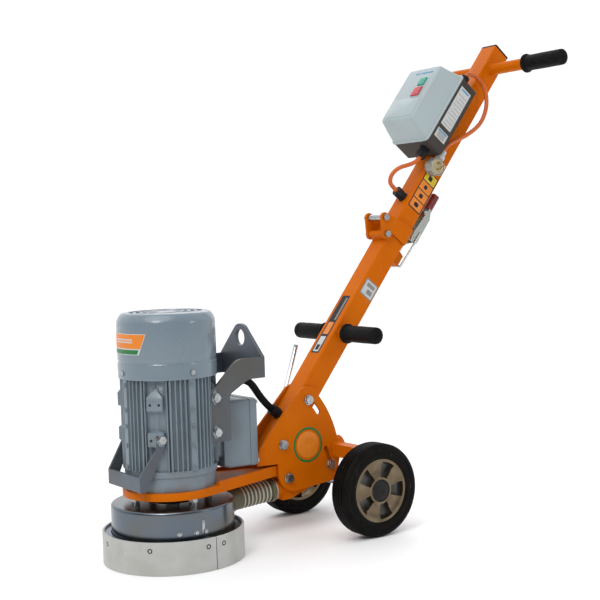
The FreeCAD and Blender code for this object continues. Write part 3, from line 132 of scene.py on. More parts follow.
# The camera (millimetres from the head's axis, degrees), the lamps (name, place and size in metres,
# watts), the sun, the room's brightness along an axis, and the floor in metres.
CAMERA_AT = (-1167.3, -2105.5, 644.8)
CAMERA_TURN, CAMERA_DROP, CAMERA_ROLL = -35.518, 3.059, -1.832
SENSOR_WIDTH, FOCAL_LENGTH = 36.0, 71.03
LAMPS = (("key", (-2.3, -1.4, 2.1), 0.7, 18), ("fill", (1.3, -2.6, 1.2), 0.5, 6),
         ("back", (1.4, 2.2, 2.4), 1.6, 12))
LAMP_AIM = (0, 0, 0.45)
SUN_WAY, SUN_STRENGTH, SUN_ANGLE = (0.45, 0.30, -0.84), 1.3, 50
ROOM_AXIS, ROOM_FROM, ROOM_TO, ROOM_DIM, ROOM_BRIGHT = (0.50, 0.72, 0.48), -0.5, 0.75, 0.26, 1.10
FLOOR_HALF, FLOOR_DROP = 30, 0.0003

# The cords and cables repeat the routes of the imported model, as (along, out, side) of the mast for the
# first two, and in the head's axes for the rest.
SUPPLY_ROUTE = [(984, 58, -28), (994, 58, -28), (1003, 48, -32), (1005, 31, -38), (997, 9, -45),
                (978, -9, -50), (950, -24, -53), (912, -31, -51), (868, -17, -46), (833, 4, -42),
                (811, 16, -40), (791, 16, -40)]
LINK_ROUTE = [(742, 58, -28), (730, 58, -28), (712, 68, -20), (694, 82, -10), (672, 86, -3), (655, 78, 0),
              (652, 64, 0), (652, 50, 0)]
HEAD_CABLE_ROUTE = [(128, 6, 319), (128, 6, 331), (134.5, 6, 341), (146, 6, 346.5), (178, 6, 346.5),
                    (197, 6, 341), (208, 6, 331.3), (215, 6, 321)]
MAST_CABLE_ROUTE = [(215, 6, 321), (235.2, 6, 291.2), (254.93, 6, 275.65)]
HOSE_LINE = ((128.0, 0.0, 94.6), (246.0, 0.0, 102.0))


# ---- the sizes and colours that a user may change ----

class GrinderSizes(bpy.types.PropertyGroup):
    tread_depth: FloatProperty(name="Tread depth", description="Depth of the grooves round each tyre",
                               default=2.4 * MM, min=0.0, max=6 * MM, subtype="DISTANCE", unit="LENGTH")
    tread_grooves: IntProperty(name="Tread grooves", description="Grooves round each tyre",
                               default=4, min=0, max=6)
    spokes: IntProperty(name="Rim spokes", description="Spokes cast in each rim", default=5, min=3, max=8)
    hose_ribs: IntProperty(name="Hose ribs", description="Ribs round the dust hose", default=9, min=3, max=20)
    rib_height: FloatProperty(name="Rib height", description="Height of the dust hose's ribs",
                              default=1.7 * MM, min=0.0, max=4 * MM, subtype="DISTANCE", unit="LENGTH")
    edge_round: FloatProperty(name="Edge rounding", description="Rounding of the sheet metal's edges",
                              default=0.7 * MM, min=0.0, max=2 * MM, subtype="DISTANCE", unit="LENGTH")
    weld_size: FloatProperty(name="Weld size", description="Radius of the weld beads",
                             default=2.2 * MM, min=0.5 * MM, max=5 * MM, subtype="DISTANCE", unit="LENGTH")


def paint(name, words, colour):
    """A colour that the user may change."""
    return FloatVectorProperty(name=name, description=words, default=colour, subtype="COLOR", size=3,
                               min=0, max=1)


class GrinderColours(bpy.types.PropertyGroup):
    orange: paint("Frame paint", "Colour of the frame, mast and arm", (0.58, 0.130, 0.0003))
    motor: paint("Motor paint", "Colour of the motor's frame and cover", (0.16, 0.205, 0.24))
    bracket: paint("Bracket paint", "Colour of the lifting bracket and front handle", (0.078, 0.103, 0.145))
    box: paint("Box plastic", "Colour of the starter box's cover", (0.36, 0.43, 0.445))
    cable: paint("Cable sheath", "Colour of the supply cord and link cable", (0.56, 0.115, 0.01))
    start: paint("Start button", "Colour of the start button", (0.0, 0.30, 0.19))
    stop: paint("Stop button", "Colour of the stop button", (0.50, 0.012, 0.025))


# ---- shapes as whole arrays ----

def head(points):
    """Head axes in millimetres to the frame's metres."""
    return np.asarray(points, float) * MM + HEAD_ORIGIN


def mast(points):
    """Mast axes (along, side, out) in millimetres to the frame's metres."""
    return np.asarray(points, float) * MM @ MAST_AXES + MAST_ORIGIN


def grid(points, wrap_u=False, wrap_v=False, finish=0):
    """Quads between neighbouring rows and columns of points; wrapping joins the last to the first."""
    rows, columns = points.shape[:2]
    index = np.arange(rows * columns).reshape(rows, columns)
    if wrap_u:
        index = np.concatenate([index, index[:1]], 0)
    if wrap_v:
        index = np.concatenate([index, index[:, :1]], 1)
    quads = np.stack([index[:-1, :-1], index[1:, :-1], index[1:, 1:], index[:-1, 1:]], -1)
    return points.reshape(-1, 3), quads.reshape(-1, 4), finish


def rounded(corners, radius, steps=4):
    """Each corner of a closed line becomes a curve: (1-t)^2 A + 2t(1-t) C + t^2 B, with A and B set back
    from the corner C by the radius, or by 0.45 of the shorter side."""
    corners = np.asarray(corners, float)
    back = np.roll(corners, 1, 0) - corners
    ahead = np.roll(corners, -1, 0) - corners
    back_length = np.linalg.norm(back, axis=1, keepdims=True)
    ahead_length = np.linalg.norm(ahead, axis=1, keepdims=True)
    set_back = np.minimum(radius, 0.45 * np.minimum(back_length, ahead_length))
    start = corners + back / back_length * set_back
    end = corners + ahead / ahead_length * set_back
    t = np.linspace(0, 1, steps + 1)[None, :, None]
    curve = (1 - t) ** 2 * start[:, None] + 2 * t * (1 - t) * corners[:, None] + t ** 2 * end[:, None]
    return curve.reshape(-1, corners.shape[1])


def lathe(profile, turns, finish=0, closed=True):
    """Each (radius, height) goes round the axis: x = r cos a, y = r sin a, z = h."""
    profile = np.asarray(profile, float)
    angle = np.radians(np.linspace(0, 360, turns, endpoint=False))
    radius = profile[:, :1]
    points = np.stack([radius * np.cos(angle), radius * np.sin(angle),
                       np.repeat(profile[:, 1:], turns, 1)], -1)
    return grid(points, closed, True, finish)


def rounded_rectangle(low_a, high_a, low_b, high_b, radius, steps):
    """The rectangle's four corners, each rounded."""
    corners = [(low_a, low_b), (high_a, low_b), (high_a, high_b), (low_a, high_b)]
    return rounded(corners, radius, steps)


def tower(levels, steps=6, finish=0):
    """Rounded rectangles (a0, a1, b0, b1, radius, height) stacked into one closed skin, its ends drawn
    to a point at the middle."""
    rings = [np.column_stack([rounded_rectangle(*level[:5], steps), np.full(4 * (steps + 1), level[5])])
             for level in levels]
    first = np.broadcast_to(rings[0].mean(0), rings[0].shape)
    last = np.broadcast_to(rings[-1].mean(0), rings[-1].shape)
    return grid(np.stack([first, *rings, last]), False, True, finish)


def slab(a0, a1, b0, b1, low, high, radius, soft=0.0, finish=0):
    """A plate with rounded corners whose top edge is softened by two small steps."""
    levels = [(a0, a1, b0, b1, radius, low), (a0, a1, b0, b1, radius, high - soft)]
    if soft:
        inset = soft * 0.3
        levels.append((a0 + inset, a1 - inset, b0 + inset, b1 - inset, radius, high - inset))
        levels.append((a0 + soft, a1 - soft, b0 + soft, b1 - soft, radius, high))
    return tower(levels, 6, finish)


def around(degrees):
    """The cosine and sine of an angle."""
    return math.cos(math.radians(degrees)), math.sin(math.radians(degrees))


def spun(part, degrees):
    """Turns a part round the z axis."""
    c, s = around(degrees)
    points, quads, finish = part
    return points @ np.array([[c, s, 0], [-s, c, 0], [0, 0, 1]]), quads, finish


def near_plate(s0, s1, v0, v1, inner, outer, radius, finish):
    """A thin plate on the near side, its faces at -inner and -outer across the mast."""
    points, quads, _ = slab(s0, s1, v0, v1, inner, outer, radius)
    return points[:, [0, 2, 1]] * np.array([1, -1, 1]), quads, finish


def turned_to(part, origin, axis, up=(0, 0, 1)):
    """Moves a part so that its z axis lies along the given axis, with its origin at the given point."""
    axis = np.asarray(axis, float) / np.linalg.norm(axis)
    side = np.cross(up, axis)
    if np.linalg.norm(side) < 1e-6:
        side = np.array([1.0, 0.0, 0.0])
    side = side / np.linalg.norm(side)
    turn = np.array([side, np.cross(axis, side), axis])
    points, quads, finish = part
    return points @ turn + np.asarray(origin, float), quads, finish


def bead(path, radius, closed=False, ripple=0.12, pitch=3.2, sides=8):
    """A weld bead: a tube along a path whose radius is r (1 + ripple sin(2 pi length / pitch))."""
    path = np.asarray(path, float)
    if closed:
        tangent = np.roll(path, -1, 0) - np.roll(path, 1, 0)
    else:
        tangent = np.gradient(path, axis=0)
    tangent /= np.linalg.norm(tangent, axis=1, keepdims=True)
    spread = path - path.mean(0)
    normal = np.linalg.svd(spread)[2][2] if np.linalg.matrix_rank(spread, tol=1e-6) > 1 else None
    if normal is None:
        normal = np.cross(tangent[0], (0.31, 0.77, 0.55))
    first = np.cross(tangent, normal)
    first /= np.linalg.norm(first, axis=1, keepdims=True)
    second = np.cross(tangent, first)
    length = np.concatenate([[0], np.cumsum(np.linalg.norm(np.diff(path, axis=0), axis=1))])
    r = radius * (1 + ripple * np.sin(2 * np.pi * length / pitch))[:, None, None]
    angle = np.linspace(0, 2 * np.pi, sides, endpoint=False)
    points = path[:, None] + r * (np.cos(angle)[None, :, None] * first[:, None]
                                  + np.sin(angle)[None, :, None] * second[:, None])
    if closed:
        return grid(points, True, True)
    ends = (np.broadcast_to(path[:1, None], (1, sides, 3)), np.broadcast_to(path[-1:, None], (1, sides, 3)))
    return grid(np.concatenate([ends[0], points, ends[1]]), False, True)


def line(start, end, count):
    """Points evenly along (1-t) A + t B."""
    t = np.linspace(0, 1, count)[:, None]
    return np.asarray(start, float) * (1 - t) + np.asarray(end, float) * t


def ring_path(centre, axis_name, radius, count=72):
    """Points round a circle whose axis is x, y or z."""
    angle = np.linspace(0, 2 * np.pi, count, endpoint=False)
    first, second = {"x": (1, 2), "y": (0, 2), "z": (0, 1)}[axis_name]
    points = np.tile(np.asarray(centre, float), (count, 1))
    points[:, first] += radius * np.cos(angle)
    points[:, second] += radius * np.sin(angle)
    return points


def piece(name, parts, finishes, body, place=head, replaces=(), sharp=35):
    """Joins parts into one mesh, closes its seams, points its faces outwards and lets it ride on a body."""
    finishes = [finishes] if isinstance(finishes, str) else finishes
    points, faces, marks, count = [], [], [], 0
    for part_points, quads, mark in parts:
        points.append(part_points)
        faces.append(quads + count)
        marks.append(np.full(len(quads), mark))
        count += len(part_points)
    points = place(np.concatenate(points))
    faces = np.concatenate(faces)
    mesh = bpy.data.meshes.new(name)
    mesh.vertices.add(len(points))
    mesh.vertices.foreach_set("co", points.astype(np.float32).ravel())
    mesh.loops.add(faces.size)
    mesh.loops.foreach_set("vertex_index", faces.ravel().astype(np.int32))
    mesh.polygons.add(len(faces))
    mesh.polygons.foreach_set("loop_start", np.arange(0, faces.size, 4, dtype=np.int32))
    mesh.polygons.foreach_set("material_index", np.concatenate(marks).astype(np.int32))
    mesh.update(calc_edges=True)
    close_seams(mesh)
    for finish_name in finishes:
        mesh.materials.append(material(finish_name))
    mesh.shade_smooth()
    mesh.set_sharp_from_angle(angle=math.radians(sharp))
    obj = bpy.data.objects.new(name, mesh)
    bpy.context.scene.collection.objects.link(obj)
    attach(obj, body)
    if replaces:
        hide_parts(*replaces)
    return obj


def close_seams(mesh):
    """Merges doubled points, drops faces left with no area and makes the normals point outwards."""
    work = bmesh.new()
    work.from_mesh(mesh)
    bmesh.ops.remove_doubles(work, verts=work.verts, dist=MERGE)
    bmesh.ops.dissolve_degenerate(work, edges=work.edges, dist=NO_LENGTH)
    bmesh.ops.recalc_face_normals(work, faces=work.faces)
    work.to_mesh(mesh)
    work.free()
    mesh.update()


def add_bevel(obj, width):
    """Rounds every edge sharper than the bevel's limit."""
    bevel = obj.modifiers.new("edge_round", "BEVEL")
    bevel.width = width
    bevel.segments = 2
    bevel.limit_method = "ANGLE"
    bevel.angle_limit = BEVEL_LIMIT
    bevel.use_clamp_overlap = True
    bevel.harden_normals = True


def dress(node, finish_name, bevel):
    """A finished copy of a node: its loose triangles merged, flat faces made whole and edges rounded."""
    source = frame["nodes"][node]
    mesh = source.data.copy()
    work = bmesh.new()
    work.from_mesh(mesh)
    bmesh.ops.remove_doubles(work, verts=work.verts, dist=MERGE)
    bmesh.ops.dissolve_limit(work, angle_limit=FLAT, verts=work.verts, edges=work.edges)
    work.to_mesh(mesh)
    work.free()
    mesh.materials.clear()
    mesh.materials.append(material(finish_name))
    mesh.shade_smooth()
    mesh.set_sharp_from_angle(angle=SHARP_EDGE)
    obj = bpy.data.objects.new(node + "_finished", mesh)
    bpy.context.scene.collection.objects.link(obj)
    if bevel:
        add_bevel(obj, bevel)
    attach(obj, source["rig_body"])
    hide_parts(node)
    return obj


# ---- finishes ----

def new_group(name, inputs, outputs):
    """An empty shader group with named sockets, and its input and output nodes."""
    tree = bpy.data.node_groups.new(name, "ShaderNodeTree")
    for socket_name, kind, value in inputs:
        socket = tree.interface.new_socket(socket_name, in_out="INPUT", socket_type=kind)
        socket.default_value = value
    for socket_name, kind in outputs:
        tree.interface.new_socket(socket_name, in_out="OUTPUT", socket_type=kind)
    return tree, tree.nodes.new("NodeGroupInput"), tree.nodes.new("NodeGroupOutput")


def add_node(tree, kind, links=(), **values):
    """A node with its properties set; links are (input, source socket) pairs."""
    node = tree.nodes.new(kind)
    for key, value in values.items():
        setattr(node, key, value)
    for key, source in links:
        if isinstance(source, bpy.types.NodeSocket):
            tree.links.new(source, node.inputs[key])
        else:
            node.inputs[key].default_value = source
    return node


def mottle_group():
    """Two colours mixed by cloudy noise, with roughness that wanders by the same clouds, and fine
    pale scuffs where a stretched noise passes its threshold."""
    if "mottle" in bpy.data.node_groups:
        return bpy.data.node_groups["mottle"]
    tree, start, end = new_group("mottle", [
        ("Colour", "NodeSocketColor", (0.5, 0.5, 0.5, 1)), ("Tint", "NodeSocketColor", (0.4, 0.4, 0.4, 1)),
        ("Amount", "NodeSocketFloat", 0.5), ("Scale", "NodeSocketFloat", 20.0),
        ("Roughness", "NodeSocketFloat", 0.4), ("Spread", "NodeSocketFloat", 0.1),
        ("Scuff colour", "NodeSocketColor", (0.7, 0.7, 0.7, 1)), ("Scuffs", "NodeSocketFloat", 0.0)],
        [("Colour", "NodeSocketColor"), ("Roughness", "NodeSocketFloat")])
    where = add_node(tree, "ShaderNodeTexCoord")
    cloud = add_node(tree, "ShaderNodeTexNoise", [("Vector", where.outputs["Object"]),
                                                  ("Scale", start.outputs["Scale"]), ("Detail", 6.0)])
    mask = add_node(tree, "ShaderNodeMapRange", [("Value", cloud.outputs["Fac"]), (1, CLOUD_EDGES[0]),
                                                 (2, CLOUD_EDGES[1])])
    share = add_node(tree, "ShaderNodeMath", [(0, mask.outputs[0]), (1, start.outputs["Amount"])],
                     operation="MULTIPLY")
    mix = add_node(tree, "ShaderNodeMix", [(0, share.outputs[0]), (6, start.outputs["Colour"]),
                                           (7, start.outputs["Tint"])], data_type="RGBA")
    stretch = add_node(tree, "ShaderNodeMapping", [("Vector", where.outputs["Object"]),
                                                   ("Rotation", (0.4, 0.9, 0.3)), ("Scale", (420, 60, 60))])
    scratch = add_node(tree, "ShaderNodeTexNoise", [("Vector", stretch.outputs[0]), ("Scale", 1.0),
                                                    ("Detail", 2.0)])
    thin = add_node(tree, "ShaderNodeMapRange", [("Value", scratch.outputs["Fac"]), (1, SCRATCH_EDGES[0]),
                                                 (2, SCRATCH_EDGES[1])])
    scuff = add_node(tree, "ShaderNodeMath", [(0, thin.outputs[0]), (1, start.outputs["Scuffs"])],
                     operation="MULTIPLY")
    worn = add_node(tree, "ShaderNodeMix", [(0, scuff.outputs[0]), (6, mix.outputs[2]),
                                            (7, start.outputs["Scuff colour"])], data_type="RGBA")
    centred = add_node(tree, "ShaderNodeMath", [(0, cloud.outputs["Fac"]), (1, 0.5)], operation="SUBTRACT")
    wander = add_node(tree, "ShaderNodeMath", [(0, centred.outputs[0]), (1, start.outputs["Spread"]),
                                               (2, start.outputs["Roughness"])], operation="MULTIPLY_ADD")
    tree.links.new(worn.outputs[2], end.inputs["Colour"])
    tree.links.new(wander.outputs[0], end.inputs["Roughness"])
    return tree


def skin_group():
    """The bump of a coat: noise in object space, stretched by a vector, as a normal."""
    if "skin" in bpy.data.node_groups:
        return bpy.data.node_groups["skin"]
    tree, start, end = new_group("skin", [
        ("Scale", "NodeSocketVector", (900, 900, 900)), ("Height", "NodeSocketFloat", 0.0001),
        ("Strength", "NodeSocketFloat", 0.2)], [("Normal", "NodeSocketVector")])
    where = add_node(tree, "ShaderNodeTexCoord")
    scaled = add_node(tree, "ShaderNodeVectorMath", [(0, where.outputs["Object"]),
                                                     (1, start.outputs["Scale"])], operation="MULTIPLY")
    noise = add_node(tree, "ShaderNodeTexNoise", [("Vector", scaled.outputs[0]), ("Scale", 1.0),
                                                  ("Detail", 3.0)])
    bump = add_node(tree, "ShaderNodeBump", [("Height", noise.outputs["Fac"]),
                                             ("Distance", start.outputs["Height"]),
                                             ("Strength", start.outputs["Strength"])])
    tree.links.new(bump.outputs[0], end.inputs["Normal"])
    return tree


Finish = namedtuple("Finish", "colour tint amount clouds rough spread skin height strength metal coat scuffs",
                    defaults=(0, 0, 0))
# colour: a name in GrinderColours or a colour of its own; skin: how fine the bump is, one number or three
FINISHES = {
    "orange_paint": Finish("orange", (0.48, 0.093, 0.0002),
                           0.5, 9, 0.38, 0.16, 700, 1.2e-4, 0.16, scuffs=0.10),
    "motor_paint": Finish("motor", (0.115, 0.14, 0.155),
                          0.6, 14, 0.38, 0.2, 520, 1.8e-4, 0.22, coat=0.15, scuffs=0.06),
    "fan_cover_paint": Finish("motor", (0.125, 0.185, 0.235),
                              0.3, 5, 0.27, 0.05, 380, 1.2e-4, 0.12, coat=0.35, scuffs=0.05),
    "cast_shield": Finish("motor", (0.16, 0.15, 0.14), 0.5, 25, 0.5, 0.2, 420, 3e-4, 0.4, scuffs=0.05),
    "bracket_paint": Finish("bracket", (0.075, 0.068, 0.055),
                            0.9, 6, 0.42, 0.2, 600, 1.4e-4, 0.2, metal=0.25, coat=0.1, scuffs=0.1),
    "zinc_plate": Finish((0.11, 0.15, 0.205), (0.17, 0.145, 0.095),
                         0.8, 6, 0.24, 0.2, (40, 40, 900), 5e-5, 0.2, metal=1, scuffs=0.1),
    "yellow_zinc": Finish((0.55, 0.54, 0.48), (0.42, 0.50, 0.52),
                          0.7, 60, 0.28, 0.2, (200, 200, 900), 5e-5, 0.2, metal=1, scuffs=0.1),
    "skirt_plastic": Finish((0.46, 0.465, 0.45), (0.35, 0.34, 0.30),
                            0.6, 18, 0.42, 0.16, (300, 300, 120), 1.5e-4, 0.2, scuffs=0.35),
    "tyre": Finish((0.003, 0.003, 0.003), (0.010, 0.008, 0.006),
                   0.6, 30, 0.6, 0.2, 900, 1.5e-4, 0.35, scuffs=0.12),
    "rim": Finish((0.185, 0.145, 0.095), (0.11, 0.08, 0.048),
                  0.7, 40, 0.34, 0.2, 700, 1e-4, 0.25, metal=1, scuffs=0.2),
    "rim_pocket": Finish((0.15, 0.15, 0.145), (0.10, 0.10, 0.095),
                         0.7, 40, 0.5, 0.2, 700, 2e-4, 0.35, metal=0.8, scuffs=0.1),
    "cap_plastic": Finish((0.014, 0.014, 0.015), (0.03, 0.03, 0.03),
                          0.5, 40, 0.45, 0.15, 900, 8e-5, 0.2, scuffs=0.1),
    "black_rubber": Finish((0.006, 0.006, 0.006), (0.013, 0.013, 0.013),
                           0.6, 60, 0.55, 0.2, 1100, 1.6e-4, 0.35, scuffs=0.05),
    "black_plastic": Finish((0.012, 0.012, 0.014), (0.028, 0.028, 0.03),
                            0.5, 60, 0.36, 0.15, 1300, 6e-5, 0.2),
    "box_light": Finish("box", (0.33, 0.375, 0.38), 0.5, 14, 0.42, 0.12, 1400, 7e-5, 0.2, scuffs=0.06),
    "box_grey": Finish((0.052, 0.044, 0.039), (0.07, 0.06, 0.052),
                       0.5, 14, 0.48, 0.15, 1400, 8e-5, 0.22, scuffs=0.06),
    "green_button": Finish("start", (0.0, 0.2, 0.14), 0.4, 80, 0.25, 0.1, 1500, 3e-5, 0.1, coat=0.3),
    "red_button": Finish("stop", (0.28, 0.01, 0.015), 0.4, 80, 0.25, 0.1, 1500, 3e-5, 0.1, coat=0.3),
    "orange_cable": Finish("cable", (0.42, 0.075, 0.008), 0.5, 40, 0.4, 0.15, 900, 8e-5, 0.2),
    "hose": Finish((0.115, 0.10, 0.055), (0.08, 0.07, 0.04), 0.6, 30, 0.48, 0.15, 600, 2e-4, 0.3),
    "hose_rib": Finish((0.52, 0.50, 0.42), (0.38, 0.36, 0.28), 0.6, 40, 0.4, 0.15, 900, 1e-4, 0.2),
    "chrome": Finish((0.80, 0.82, 0.85), (0.62, 0.66, 0.72),
                     0.4, 30, 0.10, 0.08, 90, 3e-5, 0.1, metal=1, scuffs=0.05),
    "steel_bolts": Finish((0.44, 0.46, 0.48), (0.30, 0.30, 0.28),
                          0.7, 90, 0.28, 0.2, 900, 5e-5, 0.2, metal=1, scuffs=0.1),
    "bright_steel": Finish((0.50, 0.50, 0.51), (0.40, 0.39, 0.37),
                           0.6, 30, 0.3, 0.15, (900, 900, 60), 5e-5, 0.2, metal=1, scuffs=0.1),
    "sleeve_plastic": Finish((0.18, 0.006, 0.006), (0.11, 0.004, 0.004),
                             0.5, 60, 0.3, 0.1, 900, 5e-5, 0.15, coat=0.3, scuffs=0.05),
    "copper": Finish((0.45, 0.17, 0.06), (0.30, 0.10, 0.03),
                     0.6, 90, 0.35, 0.15, (60, 60, 1500), 3e-4, 0.6, metal=1),
    "core_steel": Finish((0.20, 0.20, 0.205), (0.12, 0.12, 0.12),
                         0.5, 50, 0.45, 0.15, (20, 20, 2500), 3e-4, 0.6, metal=1),
    "segment": Finish((0.16, 0.15, 0.14), (0.28, 0.26, 0.22),
                      0.8, 600, 0.65, 0.2, 1800, 5e-4, 0.8, metal=0.4),
    "plug_plastic": Finish((0.42, 0.37, 0.23), (0.34, 0.29, 0.17),
                           0.5, 60, 0.25, 0.1, 600, 5e-5, 0.12, coat=0.4),
    "brass_pin": Finish((0.62, 0.46, 0.20), (0.45, 0.33, 0.15),
                        0.5, 90, 0.25, 0.1, 900, 4e-5, 0.1, metal=1, scuffs=0.1),
    "label_white": Finish((0.52, 0.53, 0.52), (0.44, 0.45, 0.44),
                          0.4, 60, 0.4, 0.1, 900, 2e-5, 0.1, scuffs=0.05),
    "label_dark": Finish((0.018, 0.018, 0.02), (0.035, 0.035, 0.035),
                         0.5, 60, 0.4, 0.1, 900, 2e-5, 0.1, scuffs=0.05),
    "label_grey": Finish((0.20, 0.20, 0.19), (0.27, 0.26, 0.24),
                         0.5, 90, 0.38, 0.1, 900, 2e-5, 0.1, metal=0.3, scuffs=0.1),
    "label_orange": Finish((0.70, 0.20, 0.008), (0.60, 0.16, 0.006),
                           0.4, 60, 0.4, 0.1, 900, 2e-5, 0.1, scuffs=0.05),
    "label_yellow": Finish((0.66, 0.46, 0.008), (0.56, 0.38, 0.006),
                           0.4, 60, 0.4, 0.1, 900, 2e-5, 0.1, scuffs=0.05),
    "label_green": Finish((0.008, 0.15, 0.03), (0.006, 0.11, 0.022),
                          0.4, 60, 0.4, 0.1, 900, 2e-5, 0.1, scuffs=0.05),
    "label_blue": Finish((0.05, 0.24, 0.42), (0.04, 0.19, 0.35), 0.4, 60, 0.4, 0.1, 900, 2e-5, 0.1),
}

# how much of a plain surface's mirror reflection each dull finish keeps
DULL = {"orange_paint": 0.06, "tyre": 0.07, "black_rubber": 0.07, "black_plastic": 0.12, "cap_plastic": 0.10,
        "label_dark": 0.15, "skirt_plastic": 0.22, "box_grey": 0.08}


def material(name):
    """The finish of that name: mottled colour and roughness, and a skin that bumps the normal."""
    if name + "_finish" in bpy.data.materials:
        return bpy.data.materials[name + "_finish"]
    look = FINISHES[name]
    colour = look.colour
    if isinstance(colour, str):
        colour = tuple(getattr(bpy.context.scene.grinder_colours, colour))
    skin = look.skin if isinstance(look.skin, tuple) else (look.skin,) * 3
    made = bpy.data.materials.new(name + "_finish")
    made.use_nodes = True
    tree = made.node_tree
    shader = tree.nodes["Principled BSDF"]
    shader.inputs["Metallic"].default_value = look.metal
    shader.inputs["Coat Weight"].default_value = look.coat
    shader.inputs["Coat Roughness"].default_value = COAT_ROUGHNESS
    mottle = add_node(tree, "ShaderNodeGroup", node_tree=mottle_group())
    for key, value in (("Colour", (*colour, 1)), ("Tint", (*look.tint, 1)), ("Amount", look.amount),
                       ("Scale", look.clouds), ("Roughness", look.rough), ("Spread", look.spread),
                       ("Scuffs", look.scuffs)):
        mottle.inputs[key].default_value = value
    bump = add_node(tree, "ShaderNodeGroup", node_tree=skin_group())
    for key, value in (("Scale", skin), ("Height", look.height), ("Strength", look.strength)):
        bump.inputs[key].default_value = value
    tree.links.new(mottle.outputs["Colour"], shader.inputs["Base Color"])
    tree.links.new(mottle.outputs["Roughness"], shader.inputs["Roughness"])
    tree.links.new(bump.outputs["Normal"], shader.inputs["Normal"])
    if name in DULL:
        shader.inputs["Specular IOR Level"].default_value = DULL[name]
    made.diffuse_color = (*colour, 1)
    return made


def clear_plastic():
    """The plug's clear ring: tinted see-through plastic with a fine moulding texture."""
    made = bpy.data.materials.new("plug_clear_finish")
    made.use_nodes = True
    tree = made.node_tree
    shader = tree.nodes["Principled BSDF"]
    shader.inputs["Base Color"].default_value = (0.80, 0.82, 0.86, 1)
    shader.inputs["Roughness"].default_value = 0.08
    shader.inputs["Transmission Weight"].default_value = 0.85
    shader.inputs["IOR"].default_value = 1.49
    bump = add_node(tree, "ShaderNodeGroup", node_tree=skin_group())
    bump.inputs["Scale"].default_value = (300, 300, 300)
    bump.inputs["Height"].default_value = 1e-4
    bump.inputs["Strength"].default_value = 0.15
    tree.links.new(bump.outputs["Normal"], shader.inputs["Normal"])


# ---- stage ----

class GRINDER_OT_stage(bpy.types.Operator):
    """Adds the camera, the soft lights and the pale floor"""
    bl_idname = "grinder.stage"
    bl_label = "Stage"

    def execute(self, context):
        scene = context.scene
        turn, drop, roll = (math.radians(angle) for angle in (CAMERA_TURN, CAMERA_DROP, CAMERA_ROLL))
        ahead = Vector((-math.sin(turn) * math.cos(drop), math.cos(turn) * math.cos(drop), -math.sin(drop)))
        level = Vector((math.cos(turn), math.sin(turn), 0))
        upright = level.cross(ahead)
        right = level * math.cos(roll) + upright * math.sin(roll)
        top = upright * math.cos(roll) - level * math.sin(roll)
        place = Matrix((right, top, -ahead)).transposed().to_4x4()
        place.translation = head(CAMERA_AT)
        lens = bpy.data.cameras.new("camera")
        lens.sensor_width = SENSOR_WIDTH
        lens.lens = FOCAL_LENGTH
        lens.clip_end = 50.0
        camera = bpy.data.objects.new("camera", lens)
        camera.matrix_world = place
        scene.collection.objects.link(camera)
        scene.camera = camera
        self.lights(scene)
        self.floor()
        scene.view_settings.view_transform = "Standard"
        self.studio(scene)
        return {"FINISHED"}

    def studio(self, scene):
        """A room whose brightness is a smooth step of its direction along the camera's line: pale behind
        the object and darker behind the camera, so that bright metal has something to reflect."""
        world = bpy.data.worlds.new("studio")
        world.use_nodes = True
        tree = world.node_tree
        where = add_node(tree, "ShaderNodeTexCoord")
        along = add_node(tree, "ShaderNodeVectorMath", [(0, where.outputs["Generated"]), (1, ROOM_AXIS)],
                         operation="DOT_PRODUCT")
        step = add_node(tree, "ShaderNodeMapRange", [("Value", along.outputs["Value"]), (1, ROOM_FROM),
                                                     (2, ROOM_TO), (3, ROOM_DIM), (4, ROOM_BRIGHT)],
                        interpolation_type="SMOOTHSTEP")
        back = tree.nodes["Background"]
        back.inputs["Color"].default_value = (0.97, 0.98, 1.0, 1)
        tree.links.new(step.outputs[0], back.inputs["Strength"])
        scene.world = world

    def lights(self, scene):
        """Three soft boxes, a key from the front left, a weak fill and a rim from behind, and a broad sun."""
        for name, where, size, power in LAMPS:
            lamp = bpy.data.lights.new(name, "AREA")
            lamp.energy = power
            lamp.size = size
            obj = bpy.data.objects.new(name, lamp)
            obj.location = where
            aim = Vector(LAMP_AIM) - Vector(where)
            obj.rotation_euler = aim.to_track_quat("-Z", "Y").to_euler()
            scene.collection.objects.link(obj)
        sky = bpy.data.lights.new("skylight", "SUN")
        sky.energy = SUN_STRENGTH
        sky.angle = math.radians(SUN_ANGLE)
        obj = bpy.data.objects.new("skylight", sky)
        obj.rotation_euler = Vector(SUN_WAY).to_track_quat("-Z", "Y").to_euler()
        scene.collection.objects.link(obj)

    def floor(self):
        """One large pale square, a hair below the wheels."""
        half = FLOOR_HALF
        corners = [(-half, -half), (half, -half), (-half, half), (half, half)]
        mesh = bpy.data.meshes.new("floor")
        mesh.from_pydata([(x, y, -FLOOR_DROP) for x, y in corners], [], [(0, 1, 3, 2)])
        pale = bpy.data.materials.new("floor")
        pale.use_nodes = True
        shader = pale.node_tree.nodes["Principled BSDF"]
        shader.inputs["Base Color"].default_value = (0.95, 0.95, 0.95, 1)
        shader.inputs["Roughness"].default_value = 0.6
        mesh.materials.append(pale)
        floor = bpy.data.objects.new("floor", mesh)
        bpy.context.scene.collection.objects.link(floor)


# ---- cords ----

def nurbs(name, points, radius, finish_name):
    """A smooth curve with the route's points as its control points."""
    curve = bpy.data.curves.new(name, "CURVE")
    curve.dimensions = "3D"
    curve.bevel_depth = radius * MM
    curve.bevel_resolution = 6
    curve.resolution_u = 12
    curve.use_fill_caps = True
    spline = curve.splines.new("NURBS")
    spline.points.add(len(points) - 1)
    for control, place in zip(spline.points, points):
        control.co = (*place, 1)
    spline.order_u = 3
    spline.use_endpoint_u = True
    curve.materials.append(material(finish_name))
    obj = bpy.data.objects.new(name, curve)
    bpy.context.scene.collection.objects.link(obj)
    return obj


